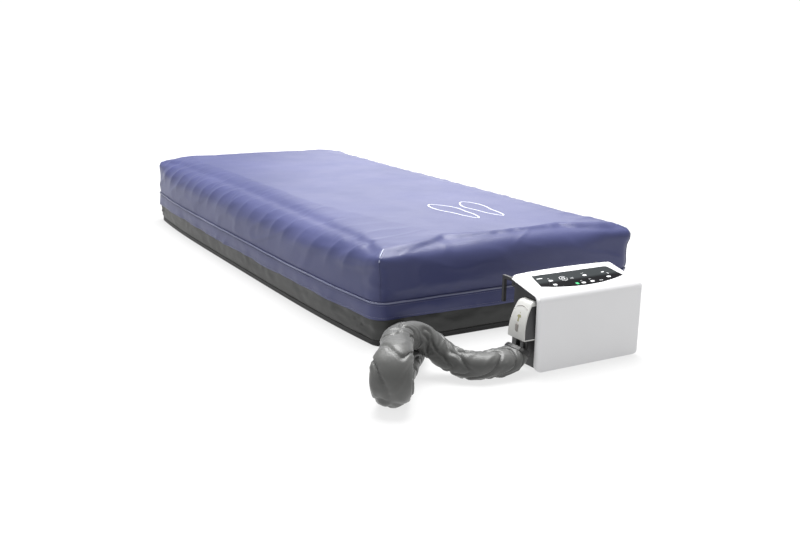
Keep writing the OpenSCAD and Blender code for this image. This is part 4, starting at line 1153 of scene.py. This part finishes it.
def ink_bar(cx, cs, length, width, turn=0):
    a = math.radians(turn)
    l, w = length / 2, width / 2
    points = [on_top(cx + x * math.cos(a) - y * math.sin(a), cs + x * math.sin(a) + y * math.cos(a))
              for x, y in ((-l, -w), (l, -w), (l, w), (-l, w))]
    return points, [(0, 1, 2, 3)]


def panel_symbols():
    """Generic symbols: a comfort dial, level bars and small marks by the keys."""
    parts = [ink_ring(-44, 73, 11, 1.0, 20, 320), ink_ring(-44, 73, 4.5, 1.6)]
    parts += [ink_bar(-44 + 11 * math.cos(t), 73 + 11 * math.sin(t), 3.0, 1.4, math.degrees(t))
              for t in np.linspace(0, 2 * math.pi, 8, endpoint=False)]
    parts += [ink_bar(-22 + 4 * i, 69, 1.2, 3 + 1.2 * i) for i in range(3)]
    parts += [ink_bar(-112, 88, 18, 3.2), ink_bar(96, 78, 10, 3.0), ink_ring(107, 68, 2.4, 1.0)]
    parts += [ink_bar(54 + 3 * i, 38, 0.8, 5) for i in range(4)]
    parts += [ink_bar(-2, 50, 7, 0.8), ink_bar(29, 51, 7, 0.8)]
    parts += [ink_ring(-88, 81, 2.2, 0.7), ink_bar(30, 86, 8, 0.9)]
    points, faces = [], []
    for more, bands in parts:
        faces += [tuple(n + len(points) for n in f) for f in bands]
        points += more
    # the symbols' pale ink glows faintly: painted light
    made = piece("panel_symbols", points, faces, white_ink_painted_glow, smooth=False)
    face_up(made)
    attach(made, "root")


panel_symbols()


def hood_marks():
    """A release arrow and a curved groove line printed on the air connector's hood."""
    hood = bpy.data.objects["connector_hood_finished"]
    middle = (hood_low.y + hood_high.y) / 2

    def spot(across, z):
        place = skin_place(hood, hood_low.x - 0.1, middle + across * MM, z * MM, 1, 0, 0)
        return place + Vector((-0.15 * MM, 0, 0))

    arrow = [(-3, 137), (3, 137), (3, 148), (9, 148), (0, 161), (-9, 148), (-3, 148)]
    points = [spot(*p) for p in arrow]
    points.append(spot(0, 148))
    faces = [(k, (k + 1) % 7, 7) for k in range(7)]
    made = piece("release_arrow", points, faces, olive_ink, smooth=False)
    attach(made, BODY_OF["connector_hood"])
    line = [spot(a, 176 - 0.012 * a * a) for a in range(-22, 23, 4)]
    made = tube("hood_line", line, 0.7 * MM, 6, button_grey)
    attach(made, BODY_OF["connector_hood"])


hood_marks()

# ---------- Floor and light ----------


def stage_and_light():
    mesh = bpy.data.meshes.new("floor")
    mesh.from_pydata([(-30, -30, 0), (30, -30, 0), (30, 30, 0), (-30, 30, 0)], [], [(0, 1, 2, 3)])
    floor = new_object("floor", mesh)
    made, tree, shader = new_material("white_floor")
    far = add(tree, "ShaderNodeVectorMath", Operation="LENGTH")
    tree.links.new(object_point(tree), far.inputs[0])
    glow = remap(tree, far.outputs["Value"], From_Min=1.3, From_Max=4.0, To_Min=0.72, To_Max=1.2)
    tree.links.new(glow, shader.inputs["Emission Strength"])
    set_sockets(shader, Base_Color=(0.16, 0.16, 0.16, 1), Roughness=0.9, Emission_Color=(1, 1, 1, 1),
                Specular_IOR_Level=0.05)
    mesh.materials.append(made)

    world = bpy.data.worlds.new("studio")
    scene.world = world
    world.use_nodes = True
    tree = world.node_tree
    background = tree.nodes["Background"]
    background.inputs["Color"].default_value = (1, 1, 1, 1)
    seen = tree.nodes.new("ShaderNodeLightPath")
    strength = remap(tree, seen.outputs["Is Camera Ray"], To_Min=0.50, To_Max=1.02)
    tree.links.new(strength, background.inputs["Strength"])

    for name, place, aim, size, power in (
            ("over_light", (0.3, 0.3, 3.9), (0.1, -0.1, 0.2), 3.8, 480),
            ("sheen_light", (3.0, 4.2, 1.9), (0.1, -0.4, 0.2), 3.4, 46),
            ("left_light", (-4.2, -0.4, 1.5), (0, 0, 0.1), 2.2, 14)):
        light = bpy.data.lights.new(name, "AREA")
        light.shape = "DISK"
        light.size = size
        light.energy = power
        lamp = new_object(name, light)
        lamp.location = place
        lamp.rotation_euler = (Vector(aim) - Vector(place)).to_track_quat("-Z", "Y").to_euler()
    scene.view_settings.view_transform = "Standard"


stage_and_light()
